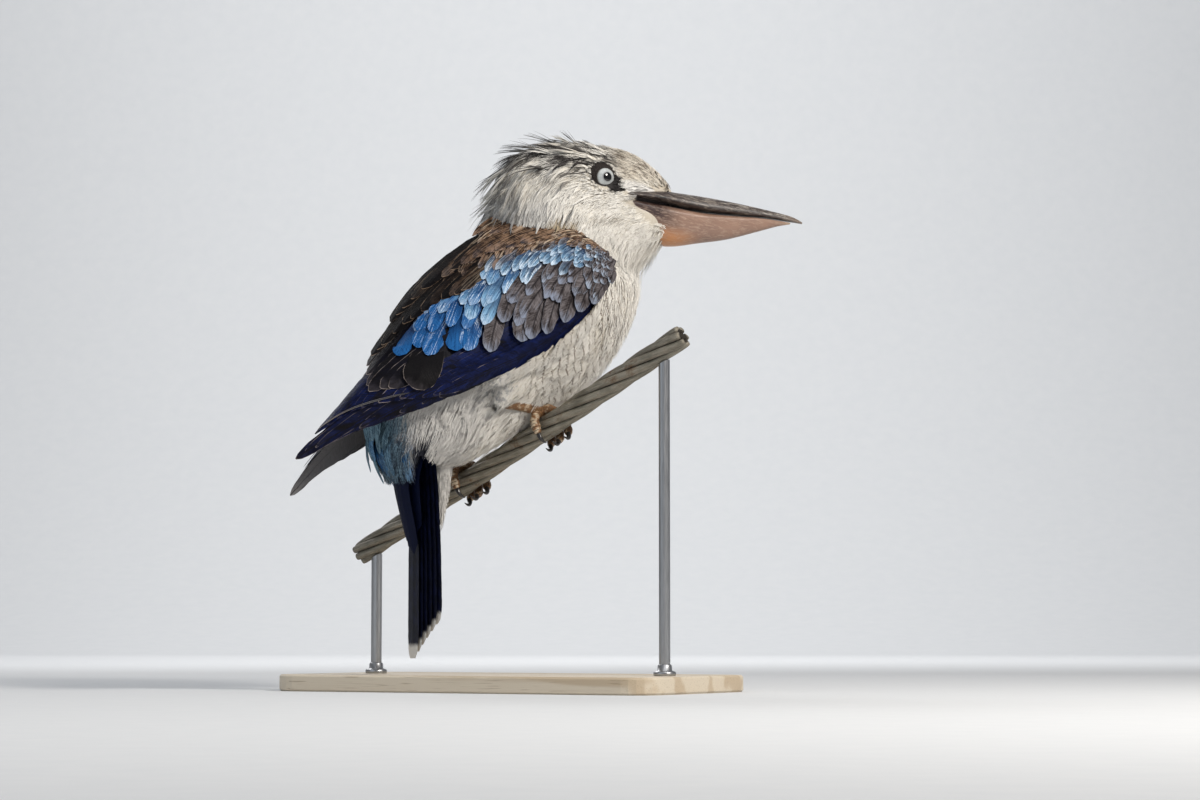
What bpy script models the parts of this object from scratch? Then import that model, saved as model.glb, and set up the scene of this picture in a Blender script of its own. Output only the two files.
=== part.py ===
"""A male blue-winged kookaburra, life size, gripping a cut length of steel cable on a plain display stand.

Everything is in metres with +Z up. The origin lies on the underside of the base, below the bird's middle.
The bird looks along +X and a little away along +Y, so its right side faces the viewer at -Y.
"""
import math
import random

import bpy
import bmesh
from mathutils import Matrix, Vector

MM = 0.001
GAP = 0.3
SLIVER = 0.08

# The stance: how far each part of the bird is turned away from the viewer, and where it stands.
BODY_YAW = math.radians(28)
HEAD_YAW = math.radians(14)
HEAD_PITCH = math.radians(8)
BODY_HEIGHT = 129.0
HEAD_CENTRE = Vector((38.0, 19.0, 268.0))

# The cable: six outer wires laid left-handed round one, on a slope.
CABLE_MIDDLE = Vector((0.0, -0.6, 129.2))
CABLE_YAW = math.radians(-29.7)
CABLE_SLOPE = math.radians(28.8)
CABLE_RADIUS = 6.4
CABLE_WIRES = 6
CABLE_LAY = 132.0
CABLE_LOW = -112.0
CABLE_HIGH = 122.0

# The stand.
BASE_LENGTH = 236.0
BASE_WIDTH = 118.0
BASE_THICKNESS = 9.0
BASE_CORNER = 16.0
ROD_RADIUS = 3.0
ROD_SIDES = 16
ROD_FROM_END = 13.0
BASE_EDGE = 1.0

# The folded wing.
FEATHER_THICKNESS = 0.6
WING_THICKNESS = 5.0
WING_FACE = -1.6
WING_DROOP = math.radians(6.0)
HAND_END = 0.64

# The eye, the bill and the feet.
EYE_PLACE = (6.4, 14.0, 13.8)
EYE_RADIUS = 8.0
LID_RADIUS = 6.9
LID_THICKNESS = 0.8
TOE_RADIUS = 2.3
TARSUS_RADIUS = 2.7

SEED = 7
BIRD = "blue_winged_kookaburra"

COLOURS = {
    "cream_feather": ((0.72, 0.68, 0.60), 0.85),
    "streaked_feather": ((0.55, 0.50, 0.43), 0.85),
    "wing_feather": ((0.09, 0.10, 0.16), 0.60),
    "navy_feather": ((0.02, 0.03, 0.09), 0.50),
    "upper_bill": ((0.06, 0.045, 0.045), 0.40),
    "lower_bill": ((0.50, 0.33, 0.25), 0.45),
    "eye": ((0.60, 0.62, 0.62), 0.10),
    "foot_skin": ((0.33, 0.22, 0.12), 0.60),
    "claw": ((0.02, 0.02, 0.02), 0.25),
    "cable_steel": ((0.20, 0.18, 0.15), 0.65),
    "stand_steel": ((0.35, 0.36, 0.37), 0.35),
    "stand_base": ((0.50, 0.48, 0.45), 0.60),
}


def clear_scene():
    for obj in list(bpy.data.objects):
        bpy.data.objects.remove(obj, do_unlink=True)


def make_collection(name):
    made = bpy.data.collections.new(name)
    bpy.context.scene.collection.children.link(made)
    return made


def material(name):
    """The finish of one sub-part, made once."""
    if name in bpy.data.materials:
        return bpy.data.materials[name]
    colour, roughness = COLOURS[name]
    made = bpy.data.materials.new(name)
    made.use_nodes = True
    shader = made.node_tree.nodes["Principled BSDF"]
    shader.inputs["Base Color"].default_value = (*colour, 1.0)
    shader.inputs["Roughness"].default_value = roughness
    shader.inputs["Metallic"].default_value = 0.8 if name.endswith("steel") else 0.0
    return made


# Places

def body_point(forward, left, up):
    """A point given along the body, in millimetres, as a point of the world."""
    turned = Matrix.Rotation(BODY_YAW, 3, "Z") @ Vector((forward, left, 0.0))
    return turned + Vector((0.0, 0.0, BODY_HEIGHT + up))


def head_axes():
    turn = Matrix.Rotation(HEAD_YAW, 3, "Z") @ Matrix.Rotation(HEAD_PITCH, 3, "Y")
    return turn


def head_point(forward, left, up):
    """A point given along the head and bill, in millimetres, as a point of the world."""
    return HEAD_CENTRE + head_axes() @ Vector((forward, left, up))


def cable_axes():
    """The cable's own directions: along it, up from it, and to the far side of it."""
    turn = Matrix.Rotation(CABLE_YAW, 3, "Z") @ Matrix.Rotation(-CABLE_SLOPE, 3, "Y")
    return turn @ Vector((1, 0, 0)), turn @ Vector((0, 0, 1)), turn @ Vector((0, 1, 0))


def round_cable(along, angle, radius):
    """A point beside the cable, the angle turning from its top towards its far side."""
    axis, top, far = cable_axes()
    return CABLE_MIDDLE + axis * along + (top * math.cos(angle) + far * math.sin(angle)) * radius


# Shapes

def catmull(points, at):
    """A smooth curve through the points, read at a place from 0 to the last index."""
    last = len(points) - 1
    first = min(max(int(at), 0), last - 1)
    share = at - first
    a = points[max(first - 1, 0)]
    b = points[first]
    c = points[first + 1]
    d = points[min(first + 2, last)]
    bend = (a - b * 3 + c * 3 - d) * -share ** 3
    curve = (a * 2 - b * 5 + c * 4 - d) * share ** 2
    return (b * 2 + (c - a) * share + curve + bend) * 0.5


def between(values, at):
    """A straight reading between listed values, at a place from 0 to 1."""
    place = min(max(at, 0.0), 1.0) * (len(values) - 1)
    first = min(int(place), len(values) - 2)
    share = place - first
    return values[first] * (1 - share) + values[first + 1] * share


def solid(name, points, faces):
    """A mesh object from points in millimetres."""
    mesh = bpy.data.meshes.new(name)
    mesh.from_pydata([tuple(p * MM) for p in points], [], faces)
    mesh.update()
    made = bpy.data.objects.new(name, mesh)
    PARTS.objects.link(made)
    shaper = bmesh.new()
    shaper.from_mesh(mesh)
    bmesh.ops.recalc_face_normals(shaper, faces=shaper.faces)
    shaper.to_mesh(mesh)
    shaper.free()
    return made


def loft(name, rings, domes=(Vector(), Vector())):
    """A closed body through rings of equally many points, with a fan on each end that may be domed."""
    points = [p for ring in rings for p in ring]
    around = len(rings[0])
    faces = []
    for low in range(len(rings) - 1):
        for step in range(around):
            a = low * around + step
            b = low * around + (step + 1) % around
            faces.append((a, b, b + around))
            faces.append((a, b + around, a + around))
    for ring, dome in ((0, domes[0]), (len(rings) - 1, domes[1])):
        centre = sum(rings[ring], Vector()) / around
        points.append(centre + dome)
        for step in range(around):
            a = ring * around + step
            b = ring * around + (step + 1) % around
            faces.append((a, b, len(points) - 1))
    return solid(name, points, faces)


def tube(name, centres, radii, sides):
    """A round limb of changing thickness along the centres."""
    rings = []
    across = None
    for place, centre in enumerate(centres):
        before = centres[max(place - 1, 0)]
        after = centres[min(place + 1, len(centres) - 1)]
        along = (after - before).normalized()
        if across is None:
            across = along.orthogonal().normalized()
        across = (across - along * across.dot(along)).normalized()
        other = along.cross(across)
        ring = []
        for step in range(sides):
            angle = 2 * math.pi * step / sides
            ring.append(centre + (across * math.cos(angle) + other * math.sin(angle)) * radii[place])
        rings.append(ring)
    return loft(name, rings)


def vane(name, centres, normals, widths, thickness=FEATHER_THICKNESS, ridge=0.0):
    """One feather: a thin closed strip that follows its shaft, split alike on both faces."""
    points = []
    steps = (-1, 0, 1) if ridge else (-1, 1)
    count = len(steps)
    for place, centre in enumerate(centres):
        before = centres[max(place - 1, 0)]
        after = centres[min(place + 1, len(centres) - 1)]
        along = (after - before).normalized()
        side = along.cross(normals[place]).normalized()
        out = side.cross(along)
        half = widths[place]
        for lift in (0.5, -0.5):
            for step in steps:
                drop = ridge * abs(step) * half
                points.append(centre + side * step * half + out * (lift * thickness - drop))
    ring = 2 * count
    faces = []
    for low in range(len(centres) - 1):
        start = low * ring
        for step in range(count - 1):
            a = start + step
            faces.append((a, a + 1, a + 1 + ring))
            faces.append((a, a + 1 + ring, a + ring))
            b = a + count
            faces.append((b, b + 1 + ring, b + 1))
            faces.append((b, b + ring, b + 1 + ring))
        for a, b in ((start, start + count), (start + 2 * count - 1, start + count - 1)):
            faces.append((a, a + ring, b + ring))
            faces.append((a, b + ring, b))
    for start in (0, (len(centres) - 1) * ring):
        for step in range(count - 1):
            a = start + step
            faces.append((a, a + 1, a + 1 + count))
            faces.append((a, a + 1 + count, a + count))
    return solid(name, points, faces)


def largest_body(obj):
    """Keeps the largest closed surface of a mesh, so that no scrap stays."""
    shaper = bmesh.new()
    shaper.from_mesh(obj.data)
    seen = set()
    bodies = []
    for face in shaper.faces:
        if face in seen:
            continue
        body = []
        waiting = [face]
        seen.add(face)
        while waiting:
            found = waiting.pop()
            body.append(found)
            for edge in found.edges:
                for other in edge.link_faces:
                    if other not in seen:
                        seen.add(other)
                        waiting.append(other)
        bodies.append(body)
    bodies.sort(key=lambda body: sum(f.calc_area() for f in body))
    for body in bodies[:-1]:
        bmesh.ops.delete(shaper, geom=body, context="FACES")
    bmesh.ops.triangulate(shaper, faces=shaper.faces)
    shaper.to_mesh(obj.data)
    shaper.free()


def apply_boolean(obj, pieces, operation):
    """One union with, or one cut by, a collection of closed pieces."""
    group = bpy.data.collections.new("pieces")
    for piece in pieces:
        group.objects.link(piece)
    step = obj.modifiers.new(operation.lower(), "BOOLEAN")
    step.operation = operation
    step.operand_type = "COLLECTION"
    step.collection = group
    step.solver = "MANIFOLD"
    bpy.context.view_layer.update()
    graph = bpy.context.evaluated_depsgraph_get()
    made = bpy.data.meshes.new_from_object(obj.evaluated_get(graph))
    obj.modifiers.clear()
    obj.data = made
    bpy.data.collections.remove(group)
    largest_body(obj)


def join(obj, pieces):
    """Fuses the pieces into the object and removes them."""
    apply_boolean(obj, pieces, "UNION")
    for piece in pieces:
        bpy.data.objects.remove(piece, do_unlink=True)


def cut(obj, cutters):
    apply_boolean(obj, cutters, "DIFFERENCE")


def clear_slivers(obj):
    """Merges the needle-thin faces that a cut leaves in a thick body."""
    shaper = bmesh.new()
    shaper.from_mesh(obj.data)
    bmesh.ops.remove_doubles(shaper, verts=shaper.verts, dist=SLIVER * MM)
    bmesh.ops.dissolve_degenerate(shaper, edges=shaper.edges, dist=SLIVER * MM)
    bmesh.ops.triangulate(shaper, faces=shaper.faces)
    shaper.to_mesh(obj.data)
    shaper.free()


def as_cutter(obj):
    """Puts a guide shape out of sight, among the cutters."""
    PARTS.objects.unlink(obj)
    CUTTERS.objects.link(obj)
    obj.hide_render = True
    obj.display_type = "WIRE"
    return obj


def finish(obj, finish_name):
    """Gives a node its finish and smooth shading."""
    obj.data.materials.clear()
    obj.data.materials.append(material(finish_name))
    obj.data.shade_smooth()
    obj.data.set_sharp_from_angle(angle=math.radians(40))
    return obj


# Flesh: one row of sections from the tail's root to the bill, each a dorsal point, a ventral point,
# a half width and how far its widest place lies below its middle.

BODY_SECTIONS = (
    ("body", (-78, 2), (-42, -9), 14, 0.0),
    ("body", (-82, 24), (-24, -4), 22, -0.10),
    ("body", (-74, 50), (-2, 8), 29, -0.22),
    ("body", (-58, 73), (22, 21), 35, -0.20),
    ("body", (-40, 91), (44, 37), 40, -0.06),
    ("body", (-26, 103), (62, 60), 41, 0.02),
    ("body", (-20, 112), (75, 88), 36, 0.0),
    ("head", (-50, -36), (35, -34), 30, 0.0),
    ("head", (-51, -15), (38, -29), 27, 0.05),
    ("head", (-48, 7), (41, -25), 25.5, 0.10),
    ("head", (-38, 22), (44, -21), 24.5, 0.14),
    ("head", (-20, 31), (46, -18), 23, 0.16),
    ("head", (1, 34), (48, -15), 19.8, 0.12),
    ("head", (23, 33.5), (50, -13), 15.6, 0.06),
    ("head", (39, 26.5), (51.5, -12), 12.4, 0.0),
    ("head", (51, 17), (53, -12), 10.0, 0.0),
)
SECTION_SIDES = 24
RUMP_END = 1.5
TORSO_END = 6.0
NECK_END = 8.0
FLESH_STEP = 0.5
FACE_DOME = 4.0


def section_frame(section):
    """Centre, half height as a vector, half width as a vector, and the drop of the widest place."""
    place = body_point if section[0] == "body" else head_point
    dorsal = place(section[1][0], 0, section[1][1])
    ventral = place(section[2][0], 0, section[2][1])
    left = (place(0, 1, 0) - place(0, 0, 0)) * section[3]
    return (dorsal + ventral) / 2, (dorsal - ventral) / 2, left, section[4]


FRAMES = [section_frame(section) for section in BODY_SECTIONS]


def flesh_frame(at):
    centre = catmull([f[0] for f in FRAMES], at)
    rise = catmull([f[1] for f in FRAMES], at)
    left = catmull([f[2] for f in FRAMES], at)
    drop = between([f[3] for f in FRAMES], at / (len(FRAMES) - 1))
    return centre, rise, left, drop


def flesh_point(at, angle, grow=0.0):
    """A point of the body's surface: the angle turns from the back towards the left side."""
    centre, rise, left, drop = flesh_frame(at)
    up = math.cos(angle) - drop * math.sin(angle) ** 2
    point = centre + rise * up + left * math.sin(angle)
    return point + (point - centre).normalized() * grow


def flesh_along(at):
    """The direction of the body at a place, towards the bill."""
    _, rise, left, _ = flesh_frame(at)
    return left.cross(rise).normalized()


def flesh_dome(at):
    """How far the middle of a shared face stands proud of its rim."""
    shared = 0 < at < len(BODY_SECTIONS) - 1
    return flesh_along(at) * (FACE_DOME if shared else 0.0)


def flesh_ring(at, shift, grow):
    along = flesh_along(at)
    ring = []
    for step in range(SECTION_SIDES):
        angle = 2 * math.pi * step / SECTION_SIDES
        ring.append(flesh_point(at, angle, grow) + along * shift)
    return ring


def flesh(name, start, end, start_gap, end_gap, grow=0.0):
    """A length of the body between two sections, short of each shared face by half a gap."""
    steps = round((end - start) / FLESH_STEP)
    rings = []
    for step in range(steps + 1):
        shift = 0.0
        if step == 0:
            shift = start_gap * GAP / 2
        if step == steps:
            shift = -end_gap * GAP / 2
        rings.append(flesh_ring(start + step * FLESH_STEP, shift, grow))
    return loft(name, rings, (flesh_dome(start), flesh_dome(end)))


# The folded wing: three rails from the wrist to the tip, on the lower edge, the middle and the upper edge.

LOWER_RAIL = (
    (38, -39, 86), (26, -43, 71), (-2, -45, 51), (-34, -44, 36), (-69, -38, 20), (-98, -28, 6),
    (-131, -19, -9),
)
MIDDLE_RAIL = (
    (42, -40, 97), (17, -46, 88), (-20, -46, 70), (-54, -43, 53), (-83, -35, 34), (-107, -27, 15),
    (-133, -18, -7),
)
UPPER_RAIL = (
    (37, -36, 107), (18, -25, 114), (-19, -14, 106), (-56, -10, 80), (-87, -12, 45), (-109, -16, 19),
    (-134, -17, -5),
)
RAILS = tuple(tuple(Vector(p) for p in rail) for rail in (LOWER_RAIL, MIDDLE_RAIL, UPPER_RAIL))
TINY = 0.01


def wing_raw(along, across):
    place = along * (len(LOWER_RAIL) - 1)
    low, middle, high = (catmull(rail, place) for rail in RAILS)
    bend = (low + high - middle * 2) * 2
    slope = middle * 4 - low * 3 - high
    return low + slope * across + bend * across ** 2


def wing_point(along, across, offset, left):
    """A point over the folded wing in the body's own frame, then placed; left mirrors and droops it."""
    point = wing_raw(along, across)
    back = wing_raw(along + TINY, across) - wing_raw(along - TINY, across)
    rise = wing_raw(along, across + TINY) - wing_raw(along, across - TINY)
    out = rise.cross(back).normalized()
    point = point + out * offset
    if left:
        point.y = -point.y
        out.y = -out.y
        shoulder = Vector((LOWER_RAIL[0][0], 0, LOWER_RAIL[0][2]))
        droop = Matrix.Rotation(-WING_DROOP, 3, "Y")
        point = shoulder + droop @ (point - shoulder)
        out = droop @ out
    placed = body_point(*point)
    return placed, body_point(*(point + out)) - placed


# Tiers of the wing, from beneath to the top: how many, root and tip of the first and last feather as
# (along, across), half width (none: from the spacing), heights over the wing from root to tip,
# and how far each feather lies over the one below it.
TIERS = {
    "primary": (
        5, (0.42, 0.36), (0.42, 0.12), (0.80, 0.36), (1.00, 0.44), 6.2, (-3.0, -2.6, -2.2, -2.0, -1.9), -0.9,
    ),
    "secondary": (
        5, (0.32, 0.14), (0.32, 0.84), (0.83, 0.12), (0.74, 0.80), None, (-3.0, -0.4, 0.0, 0.2, 0.2), 0,
    ),
    "tertial": (
        2, (0.28, 0.74), (0.26, 0.94), (0.70, 0.76), (0.60, 0.95), 5.6, (-3.0, 0.8, 1.4, 1.6, 1.6), 0,
    ),
    "greater_covert": (
        6, (0.20, 0.12), (0.20, 0.80), (0.52, 0.10), (0.46, 0.72), None, (-3.0, 0.0, 1.7, 2.2), 0,
    ),
    "median_covert": (
        6, (0.11, 0.12), (0.12, 0.82), (0.33, 0.12), (0.31, 0.76), None, (-3.0, 0.2, 2.4, 2.9), 0,
    ),
    "lesser_covert": (
        5, (0.03, 0.16), (0.05, 0.82), (0.21, 0.14), (0.20, 0.78), None, (-3.0, 0.6, 3.0, 3.5), 0,
    ),
    "scapular": (4, (0.10, 0.90), (0.34, 0.96), (0.36, 0.86), (0.60, 0.92), 8.0, (-3.0, 2.6, 3.8, 4.2), 0.8),
}
LONG_SHAPE = ((0.0, 0.45), (0.18, 0.85), (0.55, 1.0), (0.86, 0.9), (1.0, 0.4))
SHORT_SHAPE = ((0.0, 0.5), (0.3, 0.95), (0.78, 1.0), (1.0, 0.42))
SIDE_REACH = 0.62
SIDE_LIFT = 1.05


def mix(a, b, share):
    return a * (1 - share) + b * share


def wing_feather(name, root, tip, half_width, heights, layer, roll, left):
    shape = LONG_SHAPE if len(heights) == len(LONG_SHAPE) else SHORT_SHAPE
    centres = []
    normals = []
    for (share, _), height in zip(shape, heights):
        along = mix(root[0], tip[0], share)
        across = mix(root[1], tip[1], share)
        centre, out = wing_point(along, across, height + layer, left)
        high, _ = wing_point(along, across + TINY, height + layer, left)
        rise = (high - centre).normalized()
        centres.append(centre)
        normals.append((out.normalized() - rise * roll).normalized())
    widths = [half_width * width for _, width in shape]
    return vane(name, centres, normals, widths)


def wing_tier(name, left):
    count, root_a, root_b, tip_a, tip_b, half_width, heights, layer = TIERS[name]
    first, _ = wing_point(tip_a[0], tip_a[1], 0, left)
    last, _ = wing_point(tip_b[0], tip_b[1], 0, left)
    spacing = (last - first).length / (count - 1)
    roll = 0.0 if layer else SIDE_LIFT / spacing
    made = []
    for place in range(count):
        share = place / (count - 1)
        root = (mix(root_a[0], root_b[0], share), mix(root_a[1], root_b[1], share))
        tip = (mix(tip_a[0], tip_b[0], share), mix(tip_a[1], tip_b[1], share))
        width = half_width or SIDE_REACH * spacing
        made.append(wing_feather(name, root, tip, width, heights, layer * place, roll, left))
    return made


def wing_slab(name, left, reach, sides, inner, outer):
    """The arm and hand under the feathers, or the room they need: reach and sides are its extent
    along and across, inner and outer its depths as functions of the place along."""
    along_steps = 6
    across_steps = 5
    rings = []
    for step in range(along_steps + 1):
        along = mix(reach[0], reach[1], step / along_steps)
        upper = []
        lower = []
        for turn in range(across_steps + 1):
            across = mix(sides[0], sides[1], turn / across_steps)
            upper.append(wing_point(along, across, outer, left)[0])
            lower.append(wing_point(along, across, inner(along), left)[0])
        rings.append(upper + lower[::-1])
    return loft(name, rings)


def arm_depth(along):
    return WING_FACE - WING_THICKNESS * between((0.5, 1.0, 1.0, 0.95, 0.9, 0.85), along / HAND_END)


def arm_room(along):
    share = between((0.9, 1.05, 1.05, 1.0, 1.0), along / HAND_END)
    return WING_FACE - (WING_THICKNESS + 2 * GAP) * share - GAP


ROOM_REACH = ((-0.04, 0.86), (-0.02, 1.05))
ROOM_HEIGHT = 8.0


def build_wing(name, left):
    wing = wing_slab(name, left, (0.02, HAND_END), (0.10, 0.95), arm_depth, WING_FACE)
    feathers = []
    for tier in TIERS:
        feathers.extend(wing_tier(tier, left))
    join(wing, feathers)
    return finish(wing, "wing_feather")


# Tail

TAIL_TOP = (-58.0, 6.0)
TAIL_LENGTH = 117.0
TAIL_PAIRS = 6
RECTRIX_START = 3.5
RECTRIX_HALF_WIDTH = 6.0
RECTRIX_STEP = 1.8
RECTRIX_LAYER = 0.98
RECTRIX_SHORTER = 3.6
RECTRIX_SHAPE = ((0.0, 0.35), (0.22, 0.8), (0.55, 1.0), (0.88, 0.98), (1.0, 0.45))
RECTRIX_GATHER = 0.4
TAIL_ARCH = 0.018
ROOT_RINGS = ((0.0, 5.5, 6.0), (-6.0, 7.5, 8.5), (-16.0, 5.5, 8.5))
ROOM_RINGS = ((GAP, 6.2, 6.8), (-6.0, 8.2, 9.4), (-17.0, 7.4, 12.5), (-40.0, 7.4, 14.5))
ROOT_SIDES = 12
TAIL_MIDDLE = 4.5


def tail_feather(place, side):
    """One of a pair of tail feathers: place 0 lies on top in the middle, the last outermost beneath."""
    shift = side * (1.6 + RECTRIX_STEP * place)
    inward = RECTRIX_LAYER * place + (0.5 * RECTRIX_LAYER if side > 0 else 0)
    length = TAIL_LENGTH - RECTRIX_START - RECTRIX_SHORTER * place
    centres = []
    normals = []
    for share, _ in RECTRIX_SHAPE:
        fan = mix(RECTRIX_GATHER, 1.0, share)
        forward = TAIL_TOP[0] + inward + TAIL_ARCH * shift ** 2 * fan
        centres.append(body_point(forward, shift * fan, TAIL_TOP[1] - RECTRIX_START - length * share))
        tilt = 2 * TAIL_ARCH * shift * fan
        normals.append(body_point(-1, math.sin(tilt), 0) - body_point(0, 0, 0))
    widths = [RECTRIX_HALF_WIDTH * width for _, width in RECTRIX_SHAPE]
    return vane("rectrix", centres, normals, widths)


def tail_stub(name, stations):
    """The round root that the tail feathers grow from, or the room it needs in the rump."""
    rings = []
    for up, half_depth, half_width in stations:
        ring = []
        for step in range(ROOT_SIDES):
            angle = 2 * math.pi * step / ROOT_SIDES
            forward = TAIL_TOP[0] + TAIL_MIDDLE + half_depth * math.cos(angle)
            ring.append(body_point(forward, half_width * math.sin(angle), TAIL_TOP[1] + up))
        rings.append(ring)
    return loft(name, rings)


def build_tail():
    tail = tail_stub("tail", ROOT_RINGS)
    join(tail, [tail_feather(place, side) for place in range(TAIL_PAIRS) for side in (-1, 1)])
    return finish(tail, "navy_feather")


# Rows of feathers that cover the tail's root: (forward, up) along the middle one, how many, how far the
# outermost lies to the side, how the row bends round the body, 1 above the tail or -1 beneath, half width.
COVERT_ROWS = {
    "upper_long": (((-72.0, 6.0), (-77.5, -5.0), (-72.5, -18.0), (-62.5, -31.0)), 5, 12.0, 0.04, 1, 5.6),
    "upper_short": (((-77.0, 15.0), (-83.0, 5.0), (-83.0, -4.0), (-78.0, -14.0)), 4, 10.0, 0.04, 1, 6.0),
    "under": (((-44.0, 1.0), (-43.0, -14.0), (-44.0, -28.0), (-45.5, -43.0)), 3, 7.0, 0.0, -1, 4.6),
}
COVERT_LAYER = 1.1
COVERT_TILT = 0.045
COVERT_SHAPE = (0.6, 1.0, 0.9, 0.38)
COVERT_GATHER = 0.72


def tail_coverts(name):
    """A row of feathers side by side over or under the tail's root; every other one lies on top."""
    route, count, reach, bend, facing, half_width = COVERT_ROWS[name]
    along = body_point(1, 0, 0) - body_point(0, 0, 0)
    across = body_point(0, 1, 0) - body_point(0, 0, 0)
    made = []
    for place in range(count):
        side = mix(-reach, reach, place / (count - 1))
        centres = []
        for step, (forward, up) in enumerate(route):
            share = step / (len(route) - 1)
            curl = bend * side ** 2 * mix(1.0, 0.2, share)
            layer = facing * COVERT_LAYER * (place % 2)
            centres.append(body_point(forward + curl - layer, side * mix(1.0, COVERT_GATHER, share), up))
        out = (across * COVERT_TILT * side * (bend > 0) - along * facing).normalized()
        widths = [half_width * share for share in COVERT_SHAPE]
        made.append(vane("covert", centres, [out] * len(centres), widths))
    return made


# Head

# Rows of locks from the crown to the nape: place along the flesh, how many, how far round in degrees,
# length, how high the tips stand and half width.
LOCK_ROWS = (
    (12.5, 5, 44, 17.0, 4.0, 3.4),
    (11.7, 6, 56, 19.0, 8.0, 3.7),
    (11.0, 7, 68, 20.0, 10.0, 3.9),
    (10.3, 7, 78, 20.0, 9.5, 4.2),
    (9.6, 7, 84, 19.0, 7.5, 4.6),
    (8.9, 7, 84, 15.0, 5.0, 4.9),
)
LOCK_SHAPE = ((0.0, 0.7), (0.35, 1.0), (0.7, 0.6), (1.0, 0.12))
LOCK_DEPTH = -2.2
LOCK_THICKNESS = 0.8
LOCK_SPREAD = 3.0


def head_locks():
    """Shaggy crest and nape feathers in rows, swept back along the head."""
    draw = random.Random(SEED)
    made = []
    for at, count, reach, length, lift, half_width in LOCK_ROWS:
        for place in range(count):
            spread = draw.uniform(-LOCK_SPREAD, LOCK_SPREAD)
            angle = math.radians(mix(-reach, reach, (place + 0.5) / count) + spread)
            root = flesh_point(at, angle)
            out = (root - flesh_frame(at)[0]).normalized()
            back = flesh_point(at - 0.4, angle) - root
            back = (back - out * back.dot(out)).normalized()
            long = length * draw.uniform(0.85, 1.15)
            high = lift * draw.uniform(0.75, 1.25)
            centres = []
            for share, _ in LOCK_SHAPE:
                stand = mix(LOCK_DEPTH, high, share ** 0.8)
                centres.append(root + back * long * share + out * stand)
            widths = [half_width * width for _, width in LOCK_SHAPE]
            made.append(vane("lock", centres, [out] * len(centres), widths, LOCK_THICKNESS))
    return made


def sphere(name, centre, radius, segments=16, rings=10):
    mesh = bpy.data.meshes.new(name)
    shaper = bmesh.new()
    bmesh.ops.create_uvsphere(shaper, u_segments=segments, v_segments=rings, radius=radius * MM)
    bmesh.ops.translate(shaper, verts=shaper.verts, vec=centre * MM)
    shaper.to_mesh(mesh)
    shaper.free()
    made = bpy.data.objects.new(name, mesh)
    PARTS.objects.link(made)
    return made


def eye_centre(side):
    return head_point(EYE_PLACE[0], side * EYE_PLACE[1], EYE_PLACE[2])


LID_TURNS = 14
LID_SIDES = 5


def lid(side):
    """The ring of skin that the eye looks out of."""
    reach = EYE_RADIUS + GAP + LID_THICKNESS
    out = math.sqrt(reach ** 2 - LID_RADIUS ** 2)
    axes = head_axes()
    outward = axes @ Vector((0, side, 0))
    points = []
    for turn in range(LID_TURNS):
        around = 2 * math.pi * turn / LID_TURNS
        radial = axes @ Vector((math.cos(around), 0, math.sin(around)))
        middle = eye_centre(side) + radial * LID_RADIUS + outward * out
        for step in range(LID_SIDES):
            angle = 2 * math.pi * step / LID_SIDES
            points.append(middle + (radial * math.cos(angle) + outward * math.sin(angle)) * LID_THICKNESS)
    faces = []
    for turn in range(LID_TURNS):
        after = (turn + 1) % LID_TURNS
        for step in range(LID_SIDES):
            beside = (step + 1) % LID_SIDES
            a = turn * LID_SIDES + step
            b = turn * LID_SIDES + beside
            c = after * LID_SIDES + beside
            d = after * LID_SIDES + step
            faces.append((a, b, c))
            faces.append((a, c, d))
    return solid("lid", points, faces)


# The bill: forward place, top, bottom and half width of each half.
UPPER_BILL = (
    (15, 8.6, 6.2, 20.6),
    (28, 11.6, 7.0, 18.9),
    (42, 15.0, 7.8, 15.6),
    (54, 15.8, 7.7, 13.2),
    (70, 16.4, 7.8, 10.8),
    (90, 16.3, 9.6, 7.6),
    (107, 15.7, 11.2, 4.8),
    (121, 14.7, 11.5, 2.6),
    (128.4, 12.6, 11.6, 0.6),
)
LOWER_BILL = (
    (20, 6.0, -3.0, 19.2),
    (34, 6.9, -11.0, 16.4),
    (46, 7.3, -14.4, 13.8),
    (56, 7.2, -13.8, 12.0),
    (70, 7.3, -9.6, 9.6),
    (86, 8.8, -4.7, 6.8),
    (102, 10.5, 2.2, 4.2),
    (114, 11.0, 7.6, 2.4),
    (121.5, 11.1, 10.2, 0.8),
)
BILL_SIDES = 14
BILL_ROUNDNESS = 0.85
UPPER_WAIST = 0.22
LOWER_WAIST = 0.80


def bill_half(name, stations, waist_share, grow=0.0):
    rings = []
    for forward, top, bottom, half_width in stations:
        waist = mix(bottom, top, waist_share)
        ring = []
        for step in range(BILL_SIDES):
            angle = 2 * math.pi * step / BILL_SIDES
            reach = top - waist if math.cos(angle) > 0 else waist - bottom
            across = math.copysign(abs(math.sin(angle)) ** BILL_ROUNDNESS, math.sin(angle))
            rise = waist + (reach + grow) * math.cos(angle)
            ring.append(head_point(forward, (half_width + grow) * across, rise))
        rings.append(ring)
    return loft(name, rings)


NOSTRIL = ((40.5, 11.6, 13.2), (44.0, 10.8, 13.9), (48.0, 9.6, 14.5))
NOSTRIL_RADII = (0.5, 0.9, 0.4)


def nostril(side):
    """The slanting slit near the bill's root."""
    return tube("nostril", [head_point(f, side * l, u) for f, l, u in NOSTRIL], NOSTRIL_RADII, 6)


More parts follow.
